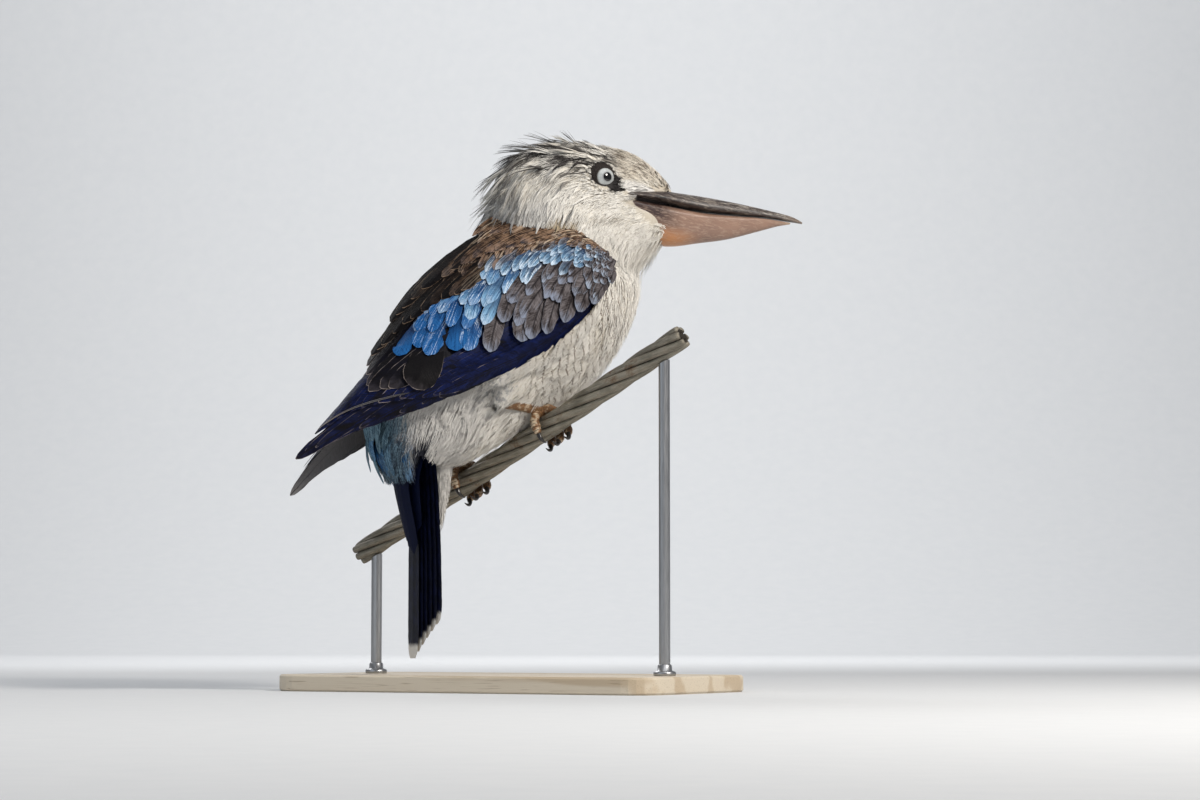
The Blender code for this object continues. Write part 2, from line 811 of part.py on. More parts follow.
def build_head():
    head = flesh("head", NECK_END, len(BODY_SECTIONS) - 1, 1, 0)
    join(head, head_locks() + [lid(-1), lid(1)])
    rooms = [sphere("socket", eye_centre(side), EYE_RADIUS + GAP) for side in (-1, 1)]
    rooms.append(bill_half("upper_room", UPPER_BILL, UPPER_WAIST, GAP))
    rooms.append(bill_half("lower_room", LOWER_BILL, LOWER_WAIST, GAP))
    rooms.append(flesh("neck_room", TORSO_END - 1, NECK_END, 0, 0, GAP))
    cut(head, [as_cutter(room) for room in rooms])
    return finish(head, "streaked_feather")


def build_bill():
    upper = bill_half("bill_upper", UPPER_BILL, UPPER_WAIST)
    cut(upper, [as_cutter(nostril(side)) for side in (-1, 1)])
    finish(upper, "upper_bill")
    finish(bill_half("bill_lower", LOWER_BILL, LOWER_WAIST), "lower_bill")


# Legs and feet

FOOT_ALONG = {"right": 27.5, "left": -31.5}
ANKLES = {"right": (-21.5, -29.5, 24.8), "left": (-31.0, 17.5, 6.0)}
HIPS = {"right": (-4.0, -21.0, 50.0), "left": (-10.0, 22.0, 36.0)}
THIGH_RADII = (14.0, 13.5, 10.0, 5.5, 4.0)
TARSUS_SHAPE = ((0.0, 1.1), (0.3, 0.95), (0.65, 1.0), (0.9, 1.2), (1.0, 1.1))
THIGH_SHARES = (0.0, 0.35, 0.7, 0.92, 1.0)
# Each toe: its root and tip along the cable from the foot's middle, and how far round it reaches.
TOES = {
    "inner": (-3.8, -6.0, 148),
    "middle": (0.2, 0.5, 163),
    "outer": (4.2, 6.8, 148),
    "hind": (-0.5, -2.5, -110),
}
TOE_SHAPE = (1.05, 1.0, 0.96, 1.0, 0.9, 0.92, 0.6)
TOE_CLEARANCE = 0.35
FOOT_ROOM = 0.45
FRONT_START = 12
CLAW_TURN = 42
CLAW_SHAPE = (1.35, 1.25, 1.0, 0.65, 0.2)
CLAW_ARCH = 1.5


def toe_reach():
    return CABLE_RADIUS + GAP + TOE_RADIUS + TOE_CLEARANCE


def toe_path(foot, toe):
    root, tip, end = TOES[toe]
    start = math.copysign(FRONT_START, end)
    path = []
    for step in range(len(TOE_SHAPE)):
        share = step / (len(TOE_SHAPE) - 1)
        along = FOOT_ALONG[foot] + mix(root, tip, share)
        path.append(round_cable(along, math.radians(mix(start, end, share)), toe_reach()))
    return path


def foot_solid(name, foot, grow=0.0):
    """Tarsus, pad and four toes closed on the cable."""
    over = round_cable(FOOT_ALONG[foot], 0, toe_reach() + 0.8)
    ankle = body_point(*ANKLES[foot])
    ankle += (ankle - over).normalized() * grow
    centres = [mix(ankle, over, share) for share, _ in TARSUS_SHAPE]
    node = tube(name, centres, [TARSUS_RADIUS * width + grow for _, width in TARSUS_SHAPE], 10)
    pieces = []
    for toe in TOES:
        radii = [TOE_RADIUS + grow] + [TOE_RADIUS * width + grow for width in TOE_SHAPE]
        pieces.append(tube("toe", [over] + toe_path(foot, toe), radii, 8))
    join(node, pieces)
    return node


def build_claws(foot):
    for toe, (_, tip, end) in TOES.items():
        first = end + math.copysign(math.degrees((TOE_RADIUS * 0.6 + GAP) / toe_reach()) * 0.35 + 1.0, end)
        turn = math.copysign(CLAW_TURN, end)
        path = []
        for step in range(len(CLAW_SHAPE)):
            share = step / (len(CLAW_SHAPE) - 1)
            radius = toe_reach() + CLAW_ARCH * math.sin(math.pi * share) + 0.6 * share
            path.append(round_cable(FOOT_ALONG[foot] + tip, math.radians(first + turn * share), radius))
        finish(tube(f"claw_{foot}_{toe}", path, CLAW_SHAPE, 6), "claw")


def thigh_solid(name, foot, grow=0.0):
    hip = body_point(*HIPS[foot])
    ankle = body_point(*ANKLES[foot])
    hip += (hip - ankle).normalized() * grow
    centres = [mix(hip, ankle, share) for share in THIGH_SHARES]
    return tube(name, centres, [radius + grow for radius in THIGH_RADII], 14)


# Cable and stand

WIRE_OUTLINE = ((-0.5, 2.60), (-0.22, 2.94), (0.22, 2.94))
CABLE_STEPS = 20


def build_cable():
    """Six round wires laid in a ring, three points of the outline to a wire."""
    wire_radius = CABLE_RADIUS / 3
    rings = []
    for step in range(CABLE_STEPS + 1):
        along = mix(CABLE_LOW, CABLE_HIGH, step / CABLE_STEPS)
        twist = -2 * math.pi * along / CABLE_LAY
        ring = []
        for wire in range(CABLE_WIRES):
            for turn, radius in WIRE_OUTLINE:
                angle = twist + (wire + turn) * 2 * math.pi / CABLE_WIRES
                ring.append(round_cable(along, angle, radius * wire_radius))
        rings.append(ring)
    return finish(loft("perch_cable", rings), "cable_steel")


def cable_room():
    centres = [round_cable(CABLE_LOW - 20, 0, 0), round_cable(CABLE_HIGH + 20, 0, 0)]
    return tube("cable_room", centres, [CABLE_RADIUS + GAP] * 2, 20)


def build_base():
    """The flat foot of the stand, turned in line with the cable."""
    shaper = bmesh.new()
    bmesh.ops.create_cube(shaper, size=1.0)
    bmesh.ops.scale(shaper, verts=shaper.verts, vec=Vector((BASE_LENGTH, BASE_WIDTH, BASE_THICKNESS)) * MM)
    mesh = bpy.data.meshes.new("stand_base")
    shaper.to_mesh(mesh)
    shaper.free()
    base = bpy.data.objects.new("stand_base", mesh)
    PARTS.objects.link(base)
    weights = mesh.attributes.new("bevel_weight_edge", "FLOAT", "EDGE")
    for edge in mesh.edges:
        low, high = (mesh.vertices[index].co for index in edge.vertices)
        weights.data[edge.index].value = float(abs(low.z - high.z) > MM)
    rounding = base.modifiers.new("rounded_corners", "BEVEL")
    rounding.limit_method = "WEIGHT"
    rounding.width = BASE_CORNER * MM
    rounding.segments = 6
    rim = base.modifiers.new("broken_edge", "BEVEL")
    rim.limit_method = "ANGLE"
    rim.angle_limit = math.radians(60)
    rim.width = BASE_EDGE * MM
    rim.segments = 1
    base.rotation_euler = (0, 0, CABLE_YAW)
    base.location = Vector((0, 0, BASE_THICKNESS / 2)) * MM
    base.data.materials.append(material("stand_base"))
    return base


def build_rod(name, along):
    """An upright from the base to the underside of the cable, its top cut to the cable's slope."""
    foot = round_cable(along, 0, 0)
    axis, top, _ = cable_axes()
    rings = [[], []]
    for step in range(ROD_SIDES):
        angle = 2 * math.pi * step / ROD_SIDES
        offset = Vector((math.cos(angle), math.sin(angle), 0)) * ROD_RADIUS
        rings[0].append(Vector((foot.x, foot.y, BASE_THICKNESS + GAP)) + offset)
        rise = offset.dot(axis) * axis.z / (1 - axis.z ** 2) - (CABLE_RADIUS + GAP) / top.z
        rings[1].append(foot + offset + Vector((0, 0, rise)))
    return finish(loft(name, rings), "stand_steel")


def main():
    build_cable()
    build_base()
    build_rod("stand_rod_low", CABLE_LOW + ROD_FROM_END)
    build_rod("stand_rod_high", CABLE_HIGH - ROD_FROM_END)

    wing_rooms = []
    for name, left in (("wing_right", False), ("wing_left", True)):
        build_wing(name, left)
        wing_rooms.append(as_cutter(wing_slab("wing_room", left, *ROOM_REACH, arm_room, ROOM_HEIGHT)))
    rooms = wing_rooms + [as_cutter(cable_room())]
    for foot in FOOT_ALONG:
        finish(foot_solid(f"foot_{foot}", foot), "foot_skin")
        build_claws(foot)
        foot_room = as_cutter(foot_solid("foot_room", foot, FOOT_ROOM))
        thigh = thigh_solid(f"thigh_{foot}", foot)
        cut(thigh, rooms[:3] + [foot_room])
        clear_slivers(thigh)
        finish(thigh, "cream_feather")
        rooms.extend((foot_room, as_cutter(thigh_solid("thigh_room", foot, GAP))))

    rump = flesh("rump", 0, RUMP_END, 0, 1)
    cut(rump, rooms + [as_cutter(tail_stub("tail_room", ROOM_RINGS))])
    clear_slivers(rump)
    join(rump, [covert for row in COVERT_ROWS for covert in tail_coverts(row)])
    finish(rump, "cream_feather")
    for name, start, end in (("torso", RUMP_END, TORSO_END), ("neck", TORSO_END, NECK_END)):
        node = flesh(name, start, end, 1, 1)
        cut(node, rooms)
        clear_slivers(node)
        finish(node, "cream_feather")
    build_tail()
    build_head()
    build_bill()
    for side, name in ((-1, "eye_right"), (1, "eye_left")):
        finish(sphere(name, eye_centre(side), EYE_RADIUS), "eye")


clear_scene()
PARTS = make_collection(BIRD)
CUTTERS = make_collection("cutters")
main()
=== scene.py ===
# %% [markdown]
# # Dressing a blue-winged kookaburra
# A plain solid model of the bird, its cable and its stand comes in as a frame. This lesson gives it
# the looks of the real animal: one skin, thousands of small feathers laid over it, the long feathers
# of wings and tail in tiers, a horny bill, wet eyes and scaly feet. All lengths are in millimetres
# until a mesh is written, because a maker thinks of feathers in millimetres.

# %% The frame
import math

import bpy
import numpy as np
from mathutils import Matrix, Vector
from mathutils.bvhtree import BVHTree
from mathutils.kdtree import KDTree


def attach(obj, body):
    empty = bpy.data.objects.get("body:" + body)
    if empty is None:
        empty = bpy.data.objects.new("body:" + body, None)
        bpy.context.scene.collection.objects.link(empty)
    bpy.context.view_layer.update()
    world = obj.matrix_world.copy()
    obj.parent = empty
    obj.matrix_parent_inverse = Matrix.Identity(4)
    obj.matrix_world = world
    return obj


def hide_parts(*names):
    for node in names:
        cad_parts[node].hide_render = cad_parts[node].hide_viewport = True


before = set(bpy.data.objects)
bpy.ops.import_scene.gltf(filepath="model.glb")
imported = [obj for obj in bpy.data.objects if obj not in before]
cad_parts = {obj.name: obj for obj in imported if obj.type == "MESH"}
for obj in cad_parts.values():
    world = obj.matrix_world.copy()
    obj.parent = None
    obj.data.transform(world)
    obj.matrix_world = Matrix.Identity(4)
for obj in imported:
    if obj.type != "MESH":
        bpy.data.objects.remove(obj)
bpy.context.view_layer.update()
MM = 0.001
FULL_TURN = 2 * math.pi
print("frame", sorted(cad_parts))

# %% [markdown]
# ## Camera, floor and light
# The photo was taken from low down, with a long lens, so the camera stands close over the floor and
# tips up a little. The floor runs on into a curved backdrop, as in a studio, so that no edge shows
# behind the bird. The sun of the photo comes from the right and above: one large lamp stands there,
# and wide weak ones fill the other side.

# %% Camera
CAMERA_PLACE = (0.049, -1.6, 0.034)
CAMERA_AIM = (0.049, 0.0, 0.15805)
CAMERA_LENS = 88.3
SENSOR_WIDTH = 36.0



def aimed(place, aim):
    """The rotation that points a camera or a lamp from one place at another."""
    return (Vector(aim) - Vector(place)).to_track_quat("-Z", "Y").to_euler()


scene = bpy.context.scene
camera = bpy.data.objects.new("camera", bpy.data.cameras.new("camera"))
scene.collection.objects.link(camera)
camera.location = CAMERA_PLACE
camera.rotation_euler = aimed(CAMERA_PLACE, CAMERA_AIM)
camera.data.lens = CAMERA_LENS
camera.data.sensor_width = SENSOR_WIDTH
scene.camera = camera
scene.view_settings.view_transform = "Standard"
print("camera tips up", round(math.degrees(camera.rotation_euler.x) - 90, 2), "degrees")

# %% Lamps


def lamp(name, place, aim, size, power, colour=(1, 1, 1)):
    """A square soft lamp, aimed at a point."""
    made = bpy.data.objects.new(name, bpy.data.lights.new(name, "AREA"))
    made.data.size = size
    made.data.energy = power
    made.data.color = colour
    made.location = place
    made.rotation_euler = aimed(place, aim)
    made.visible_camera = False
    scene.collection.objects.link(made)


BIRD_MIDDLE = (0.02, 0.0, 0.19)
lamp("sun_side", (0.80, -0.75, 0.85), BIRD_MIDDLE, 0.24, 14.0, (1.0, 0.95, 0.88))
lamp("sky_side", (-0.9, -0.9, 0.6), BIRD_MIDDLE, 1.0, 2.4, (0.82, 0.91, 1.0))
lamp("rim", (-0.5, 0.9, 0.9), BIRD_MIDDLE, 0.5, 4.0)
lamp("backdrop", (0.0, 1.3, 1.6), (0.0, 3.4, 0.7), 1.6, 38.0)
lamp("floor_fill", (0.3, -0.6, 1.9), (0.1, 0.3, 0.0), 1.4, 7.0)
world = bpy.data.worlds.new("studio")
scene.world = world
world.use_nodes = True
sky = world.node_tree.nodes["Background"].inputs
sky["Color"].default_value = (0.90, 0.93, 1.0, 1.0)
sky["Strength"].default_value = 0.22

# %% [markdown]
# ## Writing shader maths as Python
# A feather's finish is a sum of masks: a rim here, a bar there, a streak along the shaft. Wiring each
# Math node by hand hides that, so a socket is wrapped in a small class that knows +, -, * and the
# like. Each operator adds one Math node and gives back its wrapped output. Every other node comes
# from one method.

# %% The wrapped socket and the finish


class Wire:
    """A shader socket that takes part in a Python expression."""

    def __init__(self, finish, socket):
        self.finish = finish
        self.socket = socket

    def math(self, operation, first, second=None):
        values = [first] if second is None else [first, second]
        return self.finish.node("Math", {"operation": operation}, values)

    def __add__(self, other):
        return self.math("ADD", self, other)

    def __sub__(self, other):
        return self.math("SUBTRACT", self, other)

    def __rsub__(self, other):
        return self.math("SUBTRACT", other, self)

    def __mul__(self, other):
        return self.math("MULTIPLY", self, other)

    def __truediv__(self, other):
        return self.math("DIVIDE", self, other)

    def __abs__(self):
        return self.math("ABSOLUTE", self)

    def fold(self):
        return self.math("FRACT", self)

    def wave(self):
        return self.math("SINE", self)

    def higher(self, other):
        return self.math("MAXIMUM", self, other)

    def lower(self, other):
        return self.math("MINIMUM", self, other)

    def ease(self, start, end):
        """0 below start, 1 above end and a soft step between; start may be the larger."""
        if start > end:
            return 1 - self.ease(end, start)
        soft = {"interpolation_type": "SMOOTHSTEP"}
        return self.finish.node("MapRange", soft, [self], From_Min=start, From_Max=end)

    def mix(self, other, share):
        """Another colour over this one."""
        return self.finish.mix(self, other, share)

    __radd__ = __add__
    __rmul__ = __mul__


class Finish:
    """One material. Every node of it is added by the method called node."""

    def __init__(self, name, **constants):
        self.material = bpy.data.materials.new(name)
        self.material.use_nodes = True
        self.tree = self.material.node_tree
        self.shader = self.tree.nodes["Principled BSDF"]
        for socket, value in constants.items():
            self.shader.inputs[socket.replace("_", " ")].default_value = value

    def node(self, kind, settings=None, values=(), out=0, **named):
        """Adds a node: its settings first, then its sockets by number or by name."""
        made = self.tree.nodes.new("ShaderNode" + kind)
        for key, value in (settings or {}).items():
            setattr(made, key, value)
        numbered = values if isinstance(values, dict) else dict(enumerate(values))
        for socket, value in [*numbered.items(), *named.items()]:
            target = made.inputs[socket.replace("_", " ") if isinstance(socket, str) else socket]
            self.connect(target, value)
        return Wire(self, made.outputs[out])

    def connect(self, target, value):
        if isinstance(value, Wire):
            self.tree.links.new(value.socket, target)
        elif target.type == "RGBA":
            target.default_value = (*colour(*value), 1.0)
        else:
            target.default_value = value

    def drive(self, **sockets):
        for name, value in sockets.items():
            self.connect(self.shader.inputs[name.replace("_", " ")], value)

    def mix(self, low, high, share):
        """One colour over another. The Mix node keeps its colour sockets at 6 and 7."""
        return self.node("Mix", {"data_type": "RGBA"}, {0: share, 6: low, 7: high}, out=2)

    def vector(self, name):
        """A vector that each point of the mesh carries."""
        return self.node("Attribute", {"attribute_name": name}, out="Vector")

    def place(self):
        """Where a point lies in its object, in metres."""
        return self.node("TexCoord", out="Object")

    def scaled(self, vector, factors):
        return self.node("VectorMath", {"operation": "MULTIPLY"}, [vector, factors])

    def parts(self, vector):
        """The three numbers of a vector, or of the one that a name stands for."""
        vector = self.vector(vector) if isinstance(vector, str) else vector
        split = self.node("SeparateXYZ", values=[vector])
        return [Wire(self, socket) for socket in split.socket.node.outputs]

    def noise(self, vector, scale, detail=2.0, roughness=0.5):
        """Cloudy noise over a vector, or over three numbers."""
        vector = self.node("CombineXYZ", values=vector) if isinstance(vector, tuple) else vector
        return self.node("TexNoise", Vector=vector, Scale=scale, Detail=detail, Roughness=roughness)

    def bump(self, height, depth):
        """Surface relief: depth in millimetres is how far a height of 1 stands out."""
        return self.node("Bump", Height=height, Distance=depth * MM, Strength=1.0)


def colour(red, green, blue):
    """A colour as a picture editor names it, 0 to 255, made linear for the shader."""
    shares = [channel / 255 for channel in (red, green, blue)]
    return tuple(s / 12.92 if s <= 0.04045 else ((s + 0.055) / 1.055) ** 2.4 for s in shares)


def oval(x, z, half_x, half_z):
    """0 in the middle of an oval mark and 1 on its rim."""
    x, z = x / half_x, z / half_z
    return x * x + z * z


# %% Writing a mesh


def piece(name, points, faces, material, places=None, normals=None, **values):
    """A mesh object from millimetres. places is the OFBake map, normals the bent ones of soft coats,
    and values are numbers or vectors that each point carries for the shader."""
    points = np.asarray(points, float).reshape(-1, 3)
    faces = np.asarray(faces, int)
    mesh = bpy.data.meshes.new(name)
    mesh.vertices.add(len(points))
    mesh.vertices.foreach_set("co", (points * MM).astype(np.float32).ravel())
    mesh.loops.add(faces.size)
    mesh.loops.foreach_set("vertex_index", faces.ravel().astype(np.int32))
    mesh.polygons.add(len(faces))
    mesh.polygons.foreach_set("loop_start", np.arange(0, faces.size, faces.shape[1], dtype=np.int32))
    mesh.update(calc_edges=True)
    for key, value in values.items():
        value = np.asarray(value, np.float32)
        kind = "FLOAT_VECTOR" if value.ndim > 1 else "FLOAT"
        layer = mesh.attributes.new(key, kind, "POINT")
        layer.data.foreach_set("vector" if value.ndim > 1 else "value", value.ravel())
    if places is not None:
        layer = mesh.uv_layers.new(name="OFBake")
        layer.data.foreach_set("uv", np.asarray(places, np.float32)[faces.ravel()].ravel())
    mesh.shade_smooth()
    if normals is not None:
        mesh.normals_split_custom_set_from_vertices(normals.tolist())
    mesh.materials.append(material)
    made = bpy.data.objects.new(name, mesh)
    scene.collection.objects.link(made)
    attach(made, "root")
    return made


def grid_faces(rows, columns, closed=False):
    """The quads of a net of points, row after row; closed joins its last column to its first."""
    row, column = np.meshgrid(np.arange(rows - 1), np.arange(columns - (not closed)), indexing="ij")
    beside = (column + 1) % columns
    corners = [row * columns + column, row * columns + beside]
    corners += [(row + 1) * columns + beside, (row + 1) * columns + column]
    return np.stack(corners, -1).reshape(-1, 4)


# %% [markdown]
# ## The bird's own directions
# Body and head each have a frame: forward, left and up. The body is turned away from the viewer by
# 28 degrees, the head by 14, and the bill tips down by 8. The body's surface is a row of sections
# from the tail's root to the bill, the same that the solids were lofted through, read here for many
# points at once.

# %% Frames
BODY_YAW = math.radians(28)
HEAD_YAW = math.radians(14)
HEAD_PITCH = math.radians(8)
BODY_ORIGIN = np.array((0.0, 0.0, 129.0))
HEAD_ORIGIN = np.array((38.0, 19.0, 268.0))


def turn(yaw, pitch=0.0):
    """The directions forward, left and up as the columns of a matrix."""
    c, s = math.cos(yaw), math.sin(yaw)
    level = np.array(((c, -s, 0), (s, c, 0), (0, 0, 1)))
    c, s = math.cos(pitch), math.sin(pitch)
    return level @ np.array(((c, 0, s), (0, 1, 0), (-s, 0, c)))


BODY_AXES = turn(BODY_YAW)
HEAD_AXES = turn(HEAD_YAW, HEAD_PITCH)


def body_place(points):
    return np.asarray(points, float) @ BODY_AXES.T + BODY_ORIGIN


def head_place(points):
    return np.asarray(points, float) @ HEAD_AXES.T + HEAD_ORIGIN


def unit(vectors):
    return vectors / np.maximum(np.linalg.norm(vectors, axis=-1, keepdims=True), 1e-9)


def blend(low, high, share):
    return low + (high - low) * share


def catmull(points, at):
    """A smooth curve through rows of points, read at many places."""
    points = np.asarray(points, float)
    last = len(points) - 1
    at = np.asarray(at, float)
    first = np.clip(np.floor(at).astype(int), 0, last - 1)
    share = (at - first)[..., None]
    a = points[np.maximum(first - 1, 0)]
    b = points[first]
    c = points[first + 1]
    d = points[np.minimum(first + 2, last)]
    bend = (2 * a - 5 * b + 4 * c - d) * share ** 2 + (3 * b - a - 3 * c + d) * share ** 3
    return b + ((c - a) * share + bend) / 2


# %% The body's surface

# Frame, top point and bottom point (forward, up), half width, and how far the widest place lies below
# the middle.
SECTIONS = (
    ("body", (-78, 2), (-42, -9), 14, 0.0),
    ("body", (-82, 24), (-24, -4), 22, -0.10),
    ("body", (-74, 50), (-2, 8), 29, -0.22),
    ("body", (-58, 73), (22, 21), 35, -0.20),
    ("body", (-40, 91), (44, 37), 40, -0.06),
    ("body", (-26, 103), (62, 60), 41, 0.02),
    ("body", (-20, 112), (75, 88), 36, 0.0),
    ("head", (-50, -36), (35, -34), 30, 0.0),
    ("head", (-51, -15), (38, -29), 27, 0.05),
    ("head", (-48, 7), (41, -25), 25.5, 0.10),
    ("head", (-38, 22), (44, -21), 24.5, 0.14),
    ("head", (-20, 31), (46, -18), 23, 0.16),
    ("head", (1, 34), (48, -15), 19.8, 0.12),
    ("head", (23, 33.5), (50, -13), 15.6, 0.06),
    ("head", (39, 26.5), (51.5, -12), 12.4, 0.0),
    ("head", (51, 17), (53, -12), 10.0, 0.0),
)
LAST_SECTION = len(SECTIONS) - 1


def section_frame(section):
    kind, top, bottom, half_width, _ = section
    place = body_place if kind == "body" else head_place
    axes = BODY_AXES if kind == "body" else HEAD_AXES
    top = place((top[0], 0, top[1]))
    bottom = place((bottom[0], 0, bottom[1]))
    return (top + bottom) / 2, (top - bottom) / 2, axes[:, 1] * half_width


CENTRES, RISES, LEFTS = (np.array(column) for column in zip(*map(section_frame, SECTIONS)))
DROPS = np.array([section[4] for section in SECTIONS])


def flesh(at, angle):
    """Points of the body's surface; the angle turns from the back towards the left side."""
    at, angle = np.broadcast_arrays(np.asarray(at, float), np.asarray(angle, float))
    drop = np.interp(at, np.arange(len(DROPS)), DROPS)[..., None]
    sine, cosine = np.sin(angle)[..., None], np.cos(angle)[..., None]
    return (
        catmull(CENTRES, at) + catmull(RISES, at) * (cosine - drop * sine ** 2) + catmull(LEFTS, at) * sine
    )


TINY = 1e-3


def slopes(surface, u, v):
    """How a surface runs along u and along v, and its outward normal."""
    along = (surface(u + TINY, v) - surface(u - TINY, v)) / (2 * TINY)
    across = (surface(u, v + TINY) - surface(u, v - TINY)) / (2 * TINY)
    return along, across, unit(np.cross(along, across))


print("body from", flesh(0, 0).round(1), "to", flesh(LAST_SECTION, 0).round(1))

# %% [markdown]
# ## The floor
# A floor that curves up into a wall, so far back that its shading changes slowly and only the bird
# has edges.

# %% Floor
FLOOR_HALF = 4000.0
FLOOR_FRONT = -3000.0
COVE_START = 2200.0
COVE_RADIUS = 1200.0
COVE_STEPS = 24
WALL_TOP = 4000.0


def build_floor():
    outline = [(FLOOR_FRONT, 0.0)]
    for angle in np.linspace(0, math.pi / 2, COVE_STEPS):
        outline.append((COVE_START + COVE_RADIUS * math.sin(angle), COVE_RADIUS * (1 - math.cos(angle))))
    outline.append((COVE_START + COVE_RADIUS, WALL_TOP))
    points = [(x, y, z) for y, z in outline for x in (-FLOOR_HALF, FLOOR_HALF)]
    paper = Finish("backdrop_paper", Roughness=0.9)
    grain = paper.noise(paper.place(), 60.0, 3.0)
    paper.drive(Base_Color=paper.mix((214, 216, 218), (221, 222, 223), grain))
    floor = piece("floor", points, grid_faces(len(outline), 2), paper.material)


# %% [markdown]
# ## Sweeps and lofts
# Nearly every hard part here is a row of rings: a wire, a toe, a claw, the bill. One helper sweeps a
# ring along a path, another writes any row of rings as a closed mesh.

# %% Rings


def ring_angles(count):
    return np.linspace(0, FULL_TURN, count, endpoint=False)


def twice_ended(rows):
    """The same rows with the first and the last given once more, for the closed ends."""
    return np.concatenate([rows[:1], rows, rows[-1:]]).reshape(-1, *rows.shape[2:])


def drawn_together(rings):
    """Rings with one more at each end, whose points all lie in the end's middle."""
    ends = [ring.mean(1, keepdims=True) + ring * 0 for ring in (rings[:1], rings[-1:])]
    return np.concatenate([ends[0], rings, ends[1]])


def rings_mesh(name, rings, material, **values):
    """A closed mesh of rings, each end drawn together in its middle."""
    rings = drawn_together(np.asarray(rings, float))
    grown = {key: twice_ended(value) for key, value in values.items()}
    return piece(name, rings, grid_faces(*rings.shape[:2], closed=True), material, **grown)


def sweep(path, radii, sides, up):
    """Rings of a tube along a path, the first point of each ring towards up."""
    path = np.asarray(path, float)
    ahead = unit(np.gradient(path, axis=0))
    left = unit(np.cross(np.broadcast_to(up, path.shape), ahead))
    rise = np.cross(ahead, left)
    angle = ring_angles(sides)[None, :, None]
    radii = np.asarray(radii, float)[:, None, None]
    return path[:, None] + radii * (np.cos(angle) * rise[:, None] + np.sin(angle) * left[:, None])


def distance_along(path):
    """How far each point of a path lies from its first, measured along it."""
    return np.concatenate([[0], np.cumsum(np.linalg.norm(np.diff(path, axis=0), axis=1))])


def resample(rows, count):
    """A smooth reading of a short table at many even places."""
    rows = np.asarray(rows, float)
    return catmull(rows, np.linspace(0, len(rows) - 1, count))


build_floor()

# %% [markdown]
# ## The cable
# A strand of six round steel wires laid left-handed round a seventh, that has hung in the weather:
# grey-brown with rusty patches, and darker in the grooves between the wires. Each wire is its own
# swept tube, so the grooves are real. The solid cable of the frame is replaced, because its wires are too
# coarse.

# %% The cable's directions
CABLE_MIDDLE = np.array((0.0, -0.6, 129.2))
CABLE_YAW = math.radians(-29.7)
CABLE_SLOPE = math.radians(28.8)
CABLE_RADIUS = 6.4
CABLE_LOW, CABLE_HIGH = -112.0, 122.0
CABLE_LAY = 132.0
WIRES = 6
CABLE_TURN = turn(CABLE_YAW, -CABLE_SLOPE)
CABLE_AXIS, CABLE_FAR, CABLE_TOP = CABLE_TURN.T


def round_cable(along, angle, radius):
    """Points beside the cable; the angle turns from its top towards its far side."""
    along, angle, radius = np.broadcast_arrays(*(np.asarray(v, float) for v in (along, angle, radius)))
    rise = CABLE_TOP * np.cos(angle)[..., None] + CABLE_FAR * np.sin(angle)[..., None]
    return CABLE_MIDDLE + CABLE_AXIS * along[..., None] + rise * radius[..., None]


# %% Weathered steel
steel = Finish("weathered_steel", Metallic=0.55)
wire_along, wire_angle, wire_depth = steel.parts("on_cable")
patches = steel.noise(steel.place(), 90.0, 5.0, 0.62)
fine = steel.noise(steel.place(), 900.0, 4.0, 0.7)
streaks = steel.noise((wire_along * 0.05, wire_angle * 2.2, wire_depth * 0.5), 3.0, 4.0, 0.6)
tone = steel.mix((112, 106, 94), (168, 162, 148), (streaks * 0.6 + patches * 0.5).ease(0.40, 0.72))
tone = tone.mix((104, 74, 48), (patches + fine * 0.25).ease(0.66, 0.80) * 0.75)
tone = tone.mix((206, 200, 186), fine.ease(0.62, 0.75) * 0.35)
# Darker on the side of each wire that faces into the strand, and over the whole core.
groove = wire_depth.ease(0.52, 0.25)
tone = tone.mix((34, 28, 22), groove * 0.9)
steel.drive(
    Base_Color=tone,
    Roughness=0.42 + patches * 0.35 + groove * 0.2,
    Normal=steel.bump(fine * 0.5 + streaks * 0.7, 0.25),
)

# %% Six wires round a seventh
WIRE_STEPS, WIRE_SIDES = 150, 14


def build_cable():
    wire = CABLE_RADIUS / 3
    steps = np.linspace(CABLE_LOW, CABLE_HIGH, WIRE_STEPS)
    around = ring_angles(WIRE_SIDES)
    radius = np.full(len(steps), wire * 0.985)
    radius[[0, -1]] *= 0.86
    made = []
    for number in range(WIRES + 1):
        is_core = number == WIRES
        reach = 0.0 if is_core else 2 * wire
        twist = -FULL_TURN * steps / CABLE_LAY + number * FULL_TURN / WIRES
        path = round_cable(steps, twist, reach)
        outward = round_cable(steps, twist, reach + 1) - path
        beside = np.cross(unit(np.gradient(path, axis=0)), outward)
        ring = np.cos(around)[:, None] * outward[:, None] + np.sin(around)[:, None] * beside[:, None]
        rings = path[:, None] + radius[:, None, None] * ring
        depth = (0.5 + 0.5 * np.cos(around)) * (not is_core)
        carried = np.stack(np.broadcast_arrays(steps[:, None] + 31 * number, around, depth), -1)
        made.append(rings_mesh(f"cable_wire_{number}", rings, steel.material, on_cable=carried))
    return made


def joined(name, parts):
    """One object from several of the same material."""
    bpy.ops.object.select_all(action="DESELECT")
    for part in parts:
        part.select_set(True)
    bpy.context.view_layer.objects.active = parts[0]
    bpy.ops.object.join()
    parts[0].name = name
    parts[0].data.name = name
    return parts[0]


cable = joined("cable", build_cable())
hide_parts("perch_cable")
print("cable", len(cable.data.polygons), "faces")

# %% [markdown]
# ## The stand
# Base and rods keep their solids, whose shapes are right. The base gets pale oiled wood: long rings
# of an ash board, stretched noise and a satin coat. The rods get brushed steel, and a small turned
# collar where each enters the wood.

